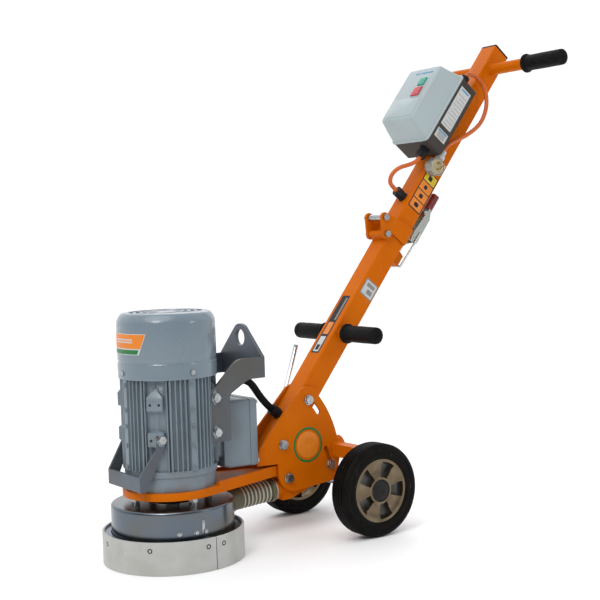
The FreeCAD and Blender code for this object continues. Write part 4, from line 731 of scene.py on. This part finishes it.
def as_mesh(obj):
    """The same object as a mesh."""
    made = bpy.data.meshes.new_from_object(obj.evaluated_get(bpy.context.evaluated_depsgraph_get()))
    solid = bpy.data.objects.new(obj.name + "_skin", made)
    name = obj.name
    bpy.data.objects.remove(obj)
    bpy.context.scene.collection.objects.link(solid)
    solid.name = name
    close_seams(made)
    made.shade_smooth()
    return solid


def mast_route(route):
    """A route of (along, out, side) points in the frame's metres."""
    return mast([(along, side, out) for along, out, side in route])


class GRINDER_OT_cords(bpy.types.Operator):
    """Adds the supply cord with its plug, the link cable and the motor cable"""
    bl_idname = "grinder.cords"
    bl_label = "Cords and Plug"

    def execute(self, context):
        plug = self.plug()
        supply = nurbs("supply_cord_sheath", mast_route(SUPPLY_ROUTE), CORD_R, "orange_cable")
        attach(supply, "mast_upper")
        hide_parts("supply_cord")
        link = nurbs("link_cable_sheath", mast_route(LINK_ROUTE), CORD_R, "orange_cable")
        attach(link, "mast_upper")
        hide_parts("link_cable")
        for name, node, route, bodies in (
                ("motor_cable_head_sheath", "motor_cable_head", HEAD_CABLE_ROUTE, ("head", "chassis")),
                ("motor_cable_mast_sheath", "motor_cable_mast", MAST_CABLE_ROUTE, ("chassis", "mast_lower"))):
            sheath = as_mesh(nurbs(name, head(route), MOTOR_CABLE_R, "black_rubber"))
            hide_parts(node)
            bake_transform(sheath)
        return {"FINISHED"}

    def plug(self):
        """A round moulded plug: a clear ring round a pale face with three flat pins, and a ribbed neck."""
        body = lathe([(0, -9), (17.5, -9), (19.5, -7), (19.5, 9), (17, 11.5), (0, 11.5)], 48)
        ring = rounded([(18.5, -11.5), (21.5, -11.5), (21.5, 11.8), (18.5, 11.8)], 1.2, 3)
        pin = slab(-0.9, 0.9, 4.5, 10.9, 11.0, 28.5, 0.8, 0.6, 2)
        pins = [spun(pin, angle) for angle in (90, 210, 330)]
        parts = [turned_to(part, PLUG_AT, (0, -1, 0)) for part in (body, lathe(ring, 48, finish=1), *pins)]
        along = np.linspace(0, 1, 48)
        ribs = 0.5 * np.cos(along * 2 * np.pi * 5)
        radius = np.where(along < 0.55, 10.5, 8.0) + ribs * (along > 0.5)
        profile = np.column_stack([radius, 17 + along * 28])
        profile = np.vstack([[0, 17], profile, [5.2, 46.0], [0, 46.0]])
        parts.append(turned_to(lathe(profile, 32, finish=3, closed=False), PLUG_AT, (1, 0, 0)))
        return piece("plug_moulding", parts, ["plug_plastic", "plug_clear", "brass_pin", "label_white"],
                     "mast_upper", mast, ["supply_plug"])


# ---- wheels ----

class GRINDER_OT_wheels(bpy.types.Operator):
    """Adds both wheels: grooved tyres, cast spoked rims and hub caps"""
    bl_idname = "grinder.wheels"
    bl_label = "Wheels"

    def execute(self, context):
        sizes = context.scene.grinder_sizes
        for side, name in ((-1, "near"), (1, "far")):
            centre = np.array(JOINT[f"wheel_{name}_spin"]["pos_m"]) - HEAD_ORIGIN
            origin = centre / MM
            for label, parts, finish_name, sharp in (
                    ("tyre_", [self.tyre(sizes)], "tyre", 40),
                    ("rim_", self.rim(sizes), ["rim", "rim_pocket"], 40),
                    ("hub_cap_", [self.cap()], "cap_plastic", 50)):
                turned = [turned_to(part, origin, (0, side, 0), (0, 0, 1)) for part in parts]
                piece(label + name + "_skin", turned, finish_name, "wheel_" + name, head,
                      [label + name], sharp=sharp)
        return {"FINISHED"}

    def tyre(self, sizes):
        """The tread's radius is the wheel's, less a groove depth where a cosine along the width passes a
        threshold, and less a rounded shoulder at each edge."""
        across = np.linspace(-TYRE_HALF, TYRE_HALF, 101)
        grooves = np.cos(np.pi * across / 18.0 * sizes.tread_grooves)
        groove = np.clip((-grooves - 0.55) / 0.25, 0, 1) * (np.abs(across) < 18.5)
        shoulder = 9.0 * np.clip((np.abs(across) - 15.5) / 9.5, 0, 1) ** 2.4
        tread = np.column_stack([WHEEL_R - shoulder - groove * sizes.tread_depth / MM, across])
        side = [(88, 25.0), (84, 24.6), (83, 24.1), (82, 24.6), (74, 25.0), (71, 24.2), (70, 23.2),
                (67.8, 23.0)]
        other = [(r, -w) for r, w in reversed(side)]
        return lathe(np.vstack([tread, side, other]), 144)

    def rim(self, sizes):
        """The face's height over radius and angle: full on the hub, the outer ring and the spokes, and
        lower by a smooth step in the pockets between them."""
        angle = np.linspace(0, 2 * np.pi, 360, endpoint=False)
        radius = np.array([24, 27.5, 28.5, 29.5, 30.5, 32, 34, 38, 44, 50, 55, 58, 59.5, 60.5, 61.5, 63,
                           65.5, 67.4])
        r, a = np.meshgrid(radius, angle, indexing="ij")
        pitch = 2 * np.pi / sizes.spokes
        offset = np.abs((a - np.radians(176) + pitch / 2) % pitch - pitch / 2) * r
        half = 10.0 + 12.0 * (r - 30) / 30
        spoke = np.clip((half - offset) / 2.2 + 0.5, 0, 1)
        step = spoke * spoke * (3 - 2 * spoke)
        inside = np.clip((r - 28.5) / 3, 0, 1) * np.clip((61.5 - r) / 3, 0, 1)
        pocket = inside * (1 - step)
        dish = 3.0 * np.clip((r - 30) / 14, 0, 1) * np.clip((60 - r) / 8, 0, 1)
        parts = []
        for sign, face, depth in ((1, 22.5, 15.0), (-1, 22.5, 13.0)):
            height = sign * (face - dish - depth * pocket)
            points = np.stack([r * np.cos(a), r * np.sin(a), height], -1)
            edge = points[-1:].copy()
            edge[..., 2] = 0
            bore = points[:1].copy()
            bore[..., 2] = 0
            skin, quads, _ = grid(np.concatenate([bore, points, edge]), False, True)
            low = np.concatenate([pocket[:1] * 0, pocket, pocket[-1:] * 0]).ravel()[quads].mean(1) > 0.6
            parts += [(skin, quads[~low], 0), (skin, quads[low], 1)]
        return parts

    def cap(self):
        """A shallow dome: height is a quarter ellipse over the radius, with a small centre dimple."""
        t = np.linspace(0, 1, 14)
        height = 19.5 + 7.0 * np.sin(t * np.pi / 2) - 1.5 * (t > 0.85)
        dome = np.column_stack([CAP_R * np.cos(t * np.pi / 2), height])
        return lathe(np.vstack([[0, 14.0], [CAP_R - 0.5, 14.0], [CAP_R, 19.5], dome[1:]]), 64, closed=False)


# ---- motor ----

class GRINDER_OT_motor(bpy.types.Operator):
    """Adds the fan cover and its grille, the rail bosses, the lug caps, the stripe and the terminal box"""
    bl_idname = "grinder.motor"
    bl_label = "Motor"

    def execute(self, context):
        self.cover()
        self.bosses()
        self.stripe()
        self.terminal_box()
        return {"FINISHED"}

    def cover(self):
        """The cover's outline as (radius, height) turned round the motor, with a grille of rings and bars."""
        skin = [(98.1, 373.1), (100.2, 373.1), (100.4, 374.5), (100.2, 376), (100.2, 401),
                (100.0, 403.2), (99.2, 404.6), (98.7, 406.0), (98.9, 408), (99.7, 410), (99.9, 413),
                (99.8, 483), (99.3, 486.5), (98.2, 489.5), (95.6, 494.6), (92.6, 499.0), (89.5, 501.8),
                (85.0, 503.0), (74.0, 503.0), (74.0, 501.0), (84.5, 501.0), (88.2, 499.8), (91.0, 497.4),
                (96.3, 488.8), (97.8, 483), (98.1, 410)]
        parts = [lathe(skin, 160)]
        for low, high in ((0, 24), (32, 38), (46, 52), (60, 66)):
            profile = [(max(low, AXIS), 501.2), (high, 501.2), (high, 502.6), (max(low, AXIS), 502.6)]
            parts.append(lathe(rounded(profile, 0.4, 2), 96))
        bar = slab(22, 75, -3, 3, 500.6, 502.9, 0.5, 0.4)
        parts += [spun(bar, 45 * k) for k in range(8)]
        piece("fan_cover_skin", parts, "fan_cover_paint", "head", head, ["fan_cover"], sharp=50)

    def bosses(self):
        """Round bosses up each rail, and a chamfered block with a small peak on each upper lug; two thin dark
        discs on each block's face are painted shade where bolt holes would be.
        """
        boss = rounded([(AXIS, 0), (4.6, 0), (4.6, 3.2), (2.6, 3.2), (2.2, 1.8), (AXIS, 1.8)], 0.5, 2)
        # a thin flat dark disc: painted shade standing in for a bolt hole, which has no depth here
        painted_hole_shade = lathe([(AXIS, 0), (2.7, 0), (2.7, 0.3), (AXIS, 0.3)], 16, finish=1)
        parts = []
        for angle in (90, 180, 270):
            c, s = around(angle)
            for z in (362, 312, 280, 242, 199):
                parts.append(turned_to(lathe(boss, 20), (RAIL_R * c, RAIL_R * s, z), (c, s, 0)))
        for sx in (-1, 1):
            for sy in (-1, 1):
                out = np.array([sx, sy, 0]) / math.sqrt(2)
                side = np.cross([0, 0, 1], out)
                axes = np.array([side, out, [0, 0, 1]])
                for low, top, peak in ((311, 341, 357), (241, 271, 277)):
                    block = tower([(-16, 16, 88, 101.5, 1, low + 3), (-16, 16, 88, 103, 1, low + 5),
                                   (-16, 16, 88, 103, 1, top), (-1, 1, 88, 91, 0.3, peak)])
                    parts.append((block[0] @ axes, block[1], 0))
                    # two painted-shade discs on the block's face, where its bolt holes would be
                    for across in (-9, 9):
                        painted_shade_disc = turned_to(painted_hole_shade, (across, 102.9, (low + top) / 2), (0, 1, 0))
                        parts.append((painted_shade_disc[0] @ axes, painted_shade_disc[1], 1))
                for degrees in (-17.2, -13.6, 13.6, 17.2):
                    fin = tower([(-1.3, 1.3, 87.6, 95.8, 0.6, 192), (-1.3, 1.3, 87.6, 97, 0.6, 194),
                                 (-1.3, 1.3, 87.6, 97, 0.6, 371), (-1.3, 1.3, 87.6, 95.8, 0.6, 373)], 2)
                    parts.append((spun(fin, degrees)[0] @ axes, fin[1], 0))
        piece("motor_bosses", parts, ["motor_paint", "label_dark"], "head", sharp=40)

    def stripe(self):
        """A plain three-colour panel wrapped round the cover: angle and height on a cylinder, its far
        end cut on a slant."""
        def patch(low, high, bottom, top, radius, slant, mark):
            u, w = np.meshgrid(np.linspace(0, 1, 25), np.linspace(0, 1, 3), indexing="ij")
            z = bottom + (top - bottom) * w
            end = high + slant * (z - 424) / 39
            angle = np.radians(low + (end - low) * u)
            outer = np.stack([radius * np.cos(angle), radius * np.sin(angle), z], -1)
            inner = np.stack([(radius - 0.5) * np.cos(angle), (radius - 0.5) * np.sin(angle), z], -1)
            loop = np.concatenate([outer[:, :1], outer, inner[:, ::-1]], 1)[:, 1:]
            ends = loop.mean(1, keepdims=True)
            closed = np.concatenate([np.broadcast_to(ends[:1], loop[:1].shape), loop,
                                     np.broadcast_to(ends[-1:], loop[:1].shape)])
            return grid(closed, False, True, mark)
        parts = [patch(150.0, 208.0, 423.5, 465.0, COVER_R + 0.05, 9, 0),
                 patch(151.0, 207.2, 436.0, 463.8, COVER_R + 0.2, 9, 1),
                 patch(151.0, 205.5, 424.8, 433.5, COVER_R + 0.2, 9, 2),
                 patch(166, 199, 447, 449.5, COVER_R + 0.35, 0, 0),
                 patch(166, 199, 452, 454.5, COVER_R + 0.35, 0, 0)]
        piece("cover_stripe", parts, ["label_white", "label_orange", "label_green"], "head")

    def terminal_box(self):
        """The box, its neck and its lid as rounded towers along x."""
        def along_x(part):
            points, quads, mark = part
            return points[:, [2, 0, 1]], quads, mark
        body = tower([(-46, 46, 176, 308, 8, 100), (-50, 50, 172, 312, 8, 112),
                      (-50, 50, 172, 312, 8, 161.6)])
        lid = tower([(-51, 51, 171, 313, 9, 162), (-51, 51, 171, 313, 9, 176),
                     (-49.5, 49.5, 172.5, 311.5, 9, 180), (-46, 46, 176, 308, 8, 182)])
        neck = tower([(-38, 38, 195, 295, 10, 80), (-38, 38, 195, 295, 10, 104)])
        piece("terminal_box_skin", [along_x(body), along_x(neck)], "motor_paint", "head", head,
              ["terminal_box"], sharp=40)
        piece("terminal_lid_skin", [along_x(lid)], "motor_paint", "head", head, ["terminal_lid"], sharp=40)


# ---- dust parts ----

class GRINDER_OT_dust(bpy.types.Operator):
    """Adds the shroud, its clips, the skirt's screws and the ribbed dust hose"""
    bl_idname = "grinder.dust"
    bl_label = "Shroud, Skirt and Hose"

    def execute(self, context):
        sizes = context.scene.grinder_sizes
        start, end = np.array(HOSE_LINE[0]), np.array(HOSE_LINE[1])
        way = (end - start) / np.linalg.norm(end - start)
        inner = SHROUD_R - 3
        shell = rounded([(46, 116), (inner - 1.5, 116), (inner, 114.5), (inner, 58), (SHROUD_R, 58),
                         (SHROUD_R, 119), (46, 119)], 6.5, 7)
        spigot = turned_to(lathe([(20, -14), (22, -14), (22, 22), (20, 22)], 48), start, way)
        piece("shroud_skin", [lathe(shell, 160), spigot], "zinc_plate", "head", head, ["dust_shroud"],
              sharp=45)
        self.clips()
        self.hose(sizes, start, end)
        self.skirt_screws()
        return {"FINISHED"}

    def hose(self, sizes, start, end):
        """Radius along the hose: 22.6 plus a rib height times a raised cosine, after a smooth cuff."""
        length = np.linalg.norm(end - start)
        ribs = sizes.hose_ribs
        t = np.linspace(0, 1, 241)
        cuff = np.clip((t - 0.26) / 0.02, 0, 1)
        phase = (t - 0.28) / 0.72 * ribs
        wave = np.clip(np.cos(2 * np.pi * phase) * 0.9 + 0.35, 0, 1) ** 0.8
        radius = np.where(cuff > 0.5, 22.4 + sizes.rib_height / MM * wave, 23.9 - 0.5 * (t < 0.02))
        outer = np.column_stack([radius, t * length])
        profile = np.vstack([outer, [22.1, length], [22.1, 0]])
        points, quads, _ = lathe(profile, 72)
        mark = np.where((wave > 0.55) & (cuff > 0.5), 1, 0)
        row = quads[:, 0] // 72
        pale = np.append(mark, [0, 0])[row] == 1
        parts = [(points, quads[~pale], 0), (points, quads[pale], 1)]
        way = (end - start) / length
        piece("dust_hose_skin", [turned_to(part, start, way) for part in parts], ["hose", "hose_rib"],
              "head", head, ["dust_hose"], sharp=60)

    def clips(self):
        """Three bolts and an upright clip low on the shroud's near side."""
        parts = []
        seat = SHROUD_R - 0.2
        bolt = rounded([(AXIS, 0), (5.2, 0), (5.2, 1.5), (3.8, 1.5), (3.8, 5), (AXIS, 5)], 0.4, 2)
        for angle in (246.0, 261.5, 270.5):
            c, s = around(angle)
            parts.append(turned_to(lathe(bolt, 24), (seat * c, seat * s, 75.5), (c, s, 0)))
        clip = slab(-3, 3, 70.5, 99, 0, 1.6, 1.0, 0.5)
        c, s = around(268.5)
        points = clip[0][:, :1] * np.array([-s, c, 0]) + clip[0][:, 1:2] * np.array([0, 0, 1])
        points = points + (clip[0][:, 2:] + seat) * np.array([c, s, 0])
        parts.append((points, clip[1], 0))
        piece("shroud_clips", parts, "steel_bolts", "head")

    def skirt_screws(self):
        """Countersunk screws round both strips, each in a dark ring."""
        washer = rounded([(2.6, -1), (5.8, -1), (5.8, 0.6), (5.0, 1.1), (2.6, 1.1)], 0.3, 2)
        middle = rounded([(AXIS, -1), (2.9, -1), (2.9, 0.9), (1.4, 1.0), (1.2, 0.3), (AXIS, 0.3)], 0.2, 2)
        parts = []
        seat = SKIRT_R - 1.1
        for degrees in (SKIRT_SPLIT + side * (7.5 + SCREW_STEP * k) for side in (-1, 1) for k in range(4)):
            c, s = around(degrees)
            for profile, mark in ((washer, 0), (middle, 1)):
                parts.append(turned_to(lathe(profile, 24, finish=mark), (seat * c, seat * s, 49), (c, s, 0)))
        piece("skirt_screws", parts, ["cap_plastic", "brass_pin"], "skirt")


# ---- mast ----

class GRINDER_OT_mast(bpy.types.Operator):
    """Adds the grips, the end cap, the labels and the weld beads of the mast and frame"""
    bl_idname = "grinder.mast"
    bl_label = "Mast and Frame"

    def execute(self, context):
        self.grips()
        cap = tower([(-half, half, -half, half, 3, s) for half, s in (
            (22, 1108), (22, 1116), (25.15, 1116.1), (25.15, 1120.4), (24.6, 1120.9))])
        points, quads, mark = cap
        piece("mast_end_cap", [(points[:, [2, 0, 1]], quads, mark)], "black_plastic", "mast_upper", mast)
        self.labels()
        self.welds(context.scene.grinder_sizes.weld_size / MM)
        return {"FINISHED"}

    def grips(self):
        """A turned grip: its radius swells gently along the hand and carries fine rings near both ends."""
        for body, s, inner, outer, flange, name, node in (
                ("mast_lower", CARRY_S, 36.5, 142, 22, "carry_grip_skin", "carry_grips"),
                ("mast_upper", HANDLE_S, 137.5, 251.5, 22, "handle_grip_skin", "handle_grips")):
            t = np.linspace(0, 1, 72)
            rings = 0.35 * np.sin(t * 2 * np.pi * 30) * ((t < 0.16) | (t > 0.84))
            radius = 17.9 + 0.6 * np.sin(np.pi * t) + rings
            hand = np.column_stack([radius, inner + 7 + t * (outer - inner - 9)])
            shape = np.vstack([[GRIP_BORE, inner], [flange - 1.5, inner], [flange, inner + 1.2],
                               [flange, inner + 4.5], [flange - 1.6, inner + 6], [18.6, inner + 6.6], hand,
                               [17.0, outer - 0.8], [14.5, outer], [AXIS, outer], [AXIS, outer - 3.4],
                               [GRIP_BORE, outer - 3.4]])
            parts = [turned_to(lathe(shape, 64), (s, 0, 0), (0, side, 0)) for side in (-1, 1)]
            piece(name, parts, "black_rubber", body, mast, [node], sharp=50)

    def labels(self):
        """Plain generic panels: thin plates on the mast's sides and front."""
        def near(s0, s1, v0, v1, lift, mark, radius=1.0):
            return near_plate(s0, s1, v0, v1, MAST_HALF - 0.1, MAST_HALF + 0.15 + lift, radius, mark)

        def front(s0, s1, y0, y1, lift, mark):
            return slab(s0, s1, y0, y1, MAST_HALF - 0.1, MAST_HALF + 0.15 + lift, 1.0, 0, mark)

        warning = [near(634, 737, -22, 20, 0, 0), near(712, 734.5, -19.5, 17.5, 0.1, 1),
                   near(718, 729, -6, 6, 0.2, 0)]
        for k, s in enumerate((637, 662, 687)):
            warning.append(near(s, s + 22.5, -19.5, 17.5, 0.1, 2))
            warning.append(near(s + 6, s + 16.5, -7 + k, 7 - k, 0.2, 0, 4.5))
        piece("warning_panel", warning, ["label_dark", "label_yellow", "label_orange"], "mast_upper", mast)
        plate = [near(388, 428, -22, 18, 0, 0), near(391, 425, -19, 15, 0.1, 1),
                 near(412, 421, -14, 10, 0.2, 0), near(396, 407, -14, 2, 0.2, 0)]
        piece("maker_plate", plate, ["label_grey", "label_white"], "mast_lower", mast)
        strip = [front(218, 372, -12, 15, 0, 0), front(222, 262, -8, 11, 0.1, 1),
                 front(268, 300, -8, 11, 0.1, 2), front(226, 240, -4, 7, 0.2, 0),
                 front(306, 366, -8, -2, 0.1, 3)]
        piece("front_strip", strip, ["label_dark", "label_white", "label_orange", "label_grey"], "mast_lower",
              mast)
        ring = rounded([(33.5, 0), (38.5, 0), (38.5, 0.35), (33.5, 0.35)], 0.1, 2)
        inner = rounded([(AXIS, 0), (29, 0), (29, 0.35), (AXIS, 0.35)], 0.1, 2)
        parts = [turned_to(lathe(ring, 64), (322, 0.1 - PLATE_OUT, 193), (0, -1, 0)),
                 turned_to(lathe(inner, 64, finish=1), (322, 0.1 - PLATE_OUT, 193), (0, -1, 0))]
        piece("side_roundel", parts, ["label_green", "label_orange"], "chassis", head)
        screw = rounded([(AXIS, 0), (5.0, 0), (5.0, 1.2), (3.4, 3.2), (AXIS, 3.6)], 0.4, 2)
        screw = turned_to(lathe(screw, 24), (1007, 0.1 - MAST_HALF, 0), (0, -1, 0))
        piece("mast_screw", [screw], "steel_bolts", "mast_upper", mast)

    def welds(self, size):
        """Beads where bars meet the tubes, where brackets meet the plates and along the fold brackets."""
        upper = [bead(ring_path((HANDLE_S, y, 0), "y", 14.2), size, True) for y in (-25.2, 25.2)]
        upper += [bead(line((555, y, 24.6), (589, y, 24.6), 40), size * 0.8) for y in (-25.6, 25.6)]
        upper += [bead(line((591.5, y, -22), (591.5, y, 6), 40), size * 0.8) for y in (-25.8, 25.8)]
        piece("upper_welds", upper, "orange_paint", "mast_upper", mast, sharp=80)
        lower = [bead(ring_path((CARRY_S, y, 0), "y", 14.2), size, True) for y in (-25.2, 25.2)]
        lower += [bead(line((507, y, -25.2), (539, y, -25.2), 40), size * 0.8) for y in (-13.2, 13.2)]
        piece("lower_welds", lower, "orange_paint", "mast_lower", mast, sharp=80)
        frame_beads = []
        for y in (-PLATE_OUT - 0.2, PLATE_OUT + 0.2):
            frame_beads.append(bead(line((392, y, 186), (421, y, 186), 40), size))
            frame_beads.append(bead(line((391.8, y, 160), (391.8, y, 185), 30), size))
        piece("frame_welds", frame_beads, "orange_paint", "chassis", sharp=80)


# ---- starter box ----

class GRINDER_OT_starter(bpy.types.Operator):
    """Adds the starter box's cover with its flap, the frame round its buttons and its labels"""
    bl_idname = "grinder.starter"
    bl_label = "Starter Box"

    def execute(self, context):
        cover = tower([(766, 962, -64, 64, 14, 84.2), (766, 962, -64, 64, 14, 88.2),
                       (767, 961, -63, 63, 14, 89),
                       (768.5, 959.5, -61.5, 61.5, 13, 89.4), (775, 948, -58.5, 58.5, 12, 120),
                       (781.5, 941, -55.8, 55.8, 11, 144), (783, 939.5, -54.6, 54.6, 11, 147.2),
                       (786, 937, -52.5, 52.5, 10, 148.8), (790, 933, -49, 49, 9, 149.1)], 8)
        flap = slab(789, 846, -50.5, 50.5, 148.6, 150.4, 6, 1.0)
        surround = slab(847, 908, -36.5, -5.5, 148.7, 149.9, 3, 0.5)
        bars = [slab(920, 924, -38, 2, 149.0, 149.4, 1, 0, 1), slab(920, 924, 7, 22, 149.0, 149.4, 1, 0, 1)]
        piece("starter_cover_skin", [cover, flap, surround, *bars], ["box_light", "label_blue"],
              "mast_upper", mast, ["starter_cover"], sharp=40)
        self.labels()
        return {"FINISHED"}

    def labels(self):
        """Plain panels with bars on the box's near side."""
        def side(s0, s1, v0, v1, lift, mark):
            return near_plate(s0, s1, v0, v1, 61.8, 62.1 + lift, 1.0, mark)

        parts = [side(826, 938, 41, 76, 0, 0), side(791, 815, 40, 76, 0, 0), side(809, 813, 43, 73, 0.12, 2),
                 side(930, 934, 46, 71, 0.12, 2)]
        parts += [side(832 + 9.4 * k, 833.2 + 9.4 * k, 44, 73 - 4 * (k % 3), 0.12, 1) for k in range(10)]
        parts += [side(794 + 2.9 * k, 795.6 + 2.9 * k, 45, 71, 0.12, 1) for k in range(5)]
        piece("starter_labels", parts, ["label_white", "label_grey", "label_blue"], "mast_upper", mast)


# ---- finished copies of the nodes whose shape is right ----

# node: edge rounding as a share of the user's value
DRESSED = {
    "side_plates": 1, "axle_brackets": 1, "head_plate": 1, "arm_cheeks": 0.8, "dust_duct": 0.8,
    "lower_mast": 0.8, "upper_mast": 0.8, "lift_bracket": 1, "front_handle": 0.8, "motor_frame": 0,
    "drive_end_shield": 0.8, "fan_end_shield": 0.8, "skirt_ring": 0.6, "skirt_strips": 0.8,
    "hose_clamps": 0.3, "latch_base": 0.4, "latch_lever": 0.5, "latch_sleeve": 0, "latch_loop": 0,
    "starter_base": 0.8, "start_button": 0, "stop_button": 0, "cable_glands": 0.5, "mast_foot_gland": 0.5,
    "motor_gland": 0.5, "clamp_lever": 0, "motor_fasteners": 0.5, "pivot_bolts": 0.5,
    "float_stop_bolts": 0.5, "clamp_bolt": 0.5, "fold_bolts": 0.5, "axle": 0.6, "grinding_disc": 0.8,
    "disc_hub": 0.8, "diamond_segments": 0.5,
}
OTHER_FINISH = {"hose_clamps": "hose"}


class GRINDER_OT_nodes(bpy.types.Operator):
    """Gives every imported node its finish, and rounds the edges of those that show"""
    bl_idname = "grinder.nodes"
    bl_label = "Packed Parts"

    def execute(self, context):
        rounding = context.scene.grinder_sizes.edge_round
        for node, share in DRESSED.items():
            dress(node, OTHER_FINISH.get(node, SLOT[node]), rounding * share)
        for node, obj in frame["nodes"].items():
            if not obj.hide_render:
                obj.data.materials.clear()
                obj.data.materials.append(material(SLOT[node]))
        return {"FINISHED"}


OPERATORS = (GRINDER_OT_stage, GRINDER_OT_cords, GRINDER_OT_wheels, GRINDER_OT_motor, GRINDER_OT_dust,
             GRINDER_OT_mast, GRINDER_OT_starter, GRINDER_OT_nodes)


class GRINDER_PT_panel(bpy.types.Panel):
    """Lists the grinder's groups of pieces and its sizes and colours"""
    bl_idname = "GRINDER_PT_panel"
    bl_label = "Floor Grinder"
    bl_space_type = "VIEW_3D"
    bl_region_type = "UI"
    bl_category = "Grinder"

    def draw(self, context):
        column = self.layout.column()
        for operator in OPERATORS:
            column.operator(operator.bl_idname)
        for group in (context.scene.grinder_sizes, context.scene.grinder_colours):
            for name in group.bl_rna.properties.keys():
                if name not in ("rna_type", "name"):
                    column.prop(group, name)


CLASSES = (GrinderSizes, GrinderColours, *OPERATORS, GRINDER_PT_panel)


def register():
    for cls in CLASSES:
        bpy.utils.register_class(cls)
    bpy.types.Scene.grinder_sizes = PointerProperty(type=GrinderSizes)
    bpy.types.Scene.grinder_colours = PointerProperty(type=GrinderColours)


def unregister():
    del bpy.types.Scene.grinder_colours
    del bpy.types.Scene.grinder_sizes
    for cls in reversed(CLASSES):
        bpy.utils.unregister_class(cls)


def main():
    """Registers the add-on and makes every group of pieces."""
    register()
    clear_plastic()
    for operator in OPERATORS:
        group, name = operator.bl_idname.split(".")
        getattr(getattr(bpy.ops, group), name)()


if __name__ == "__main__":
    main()
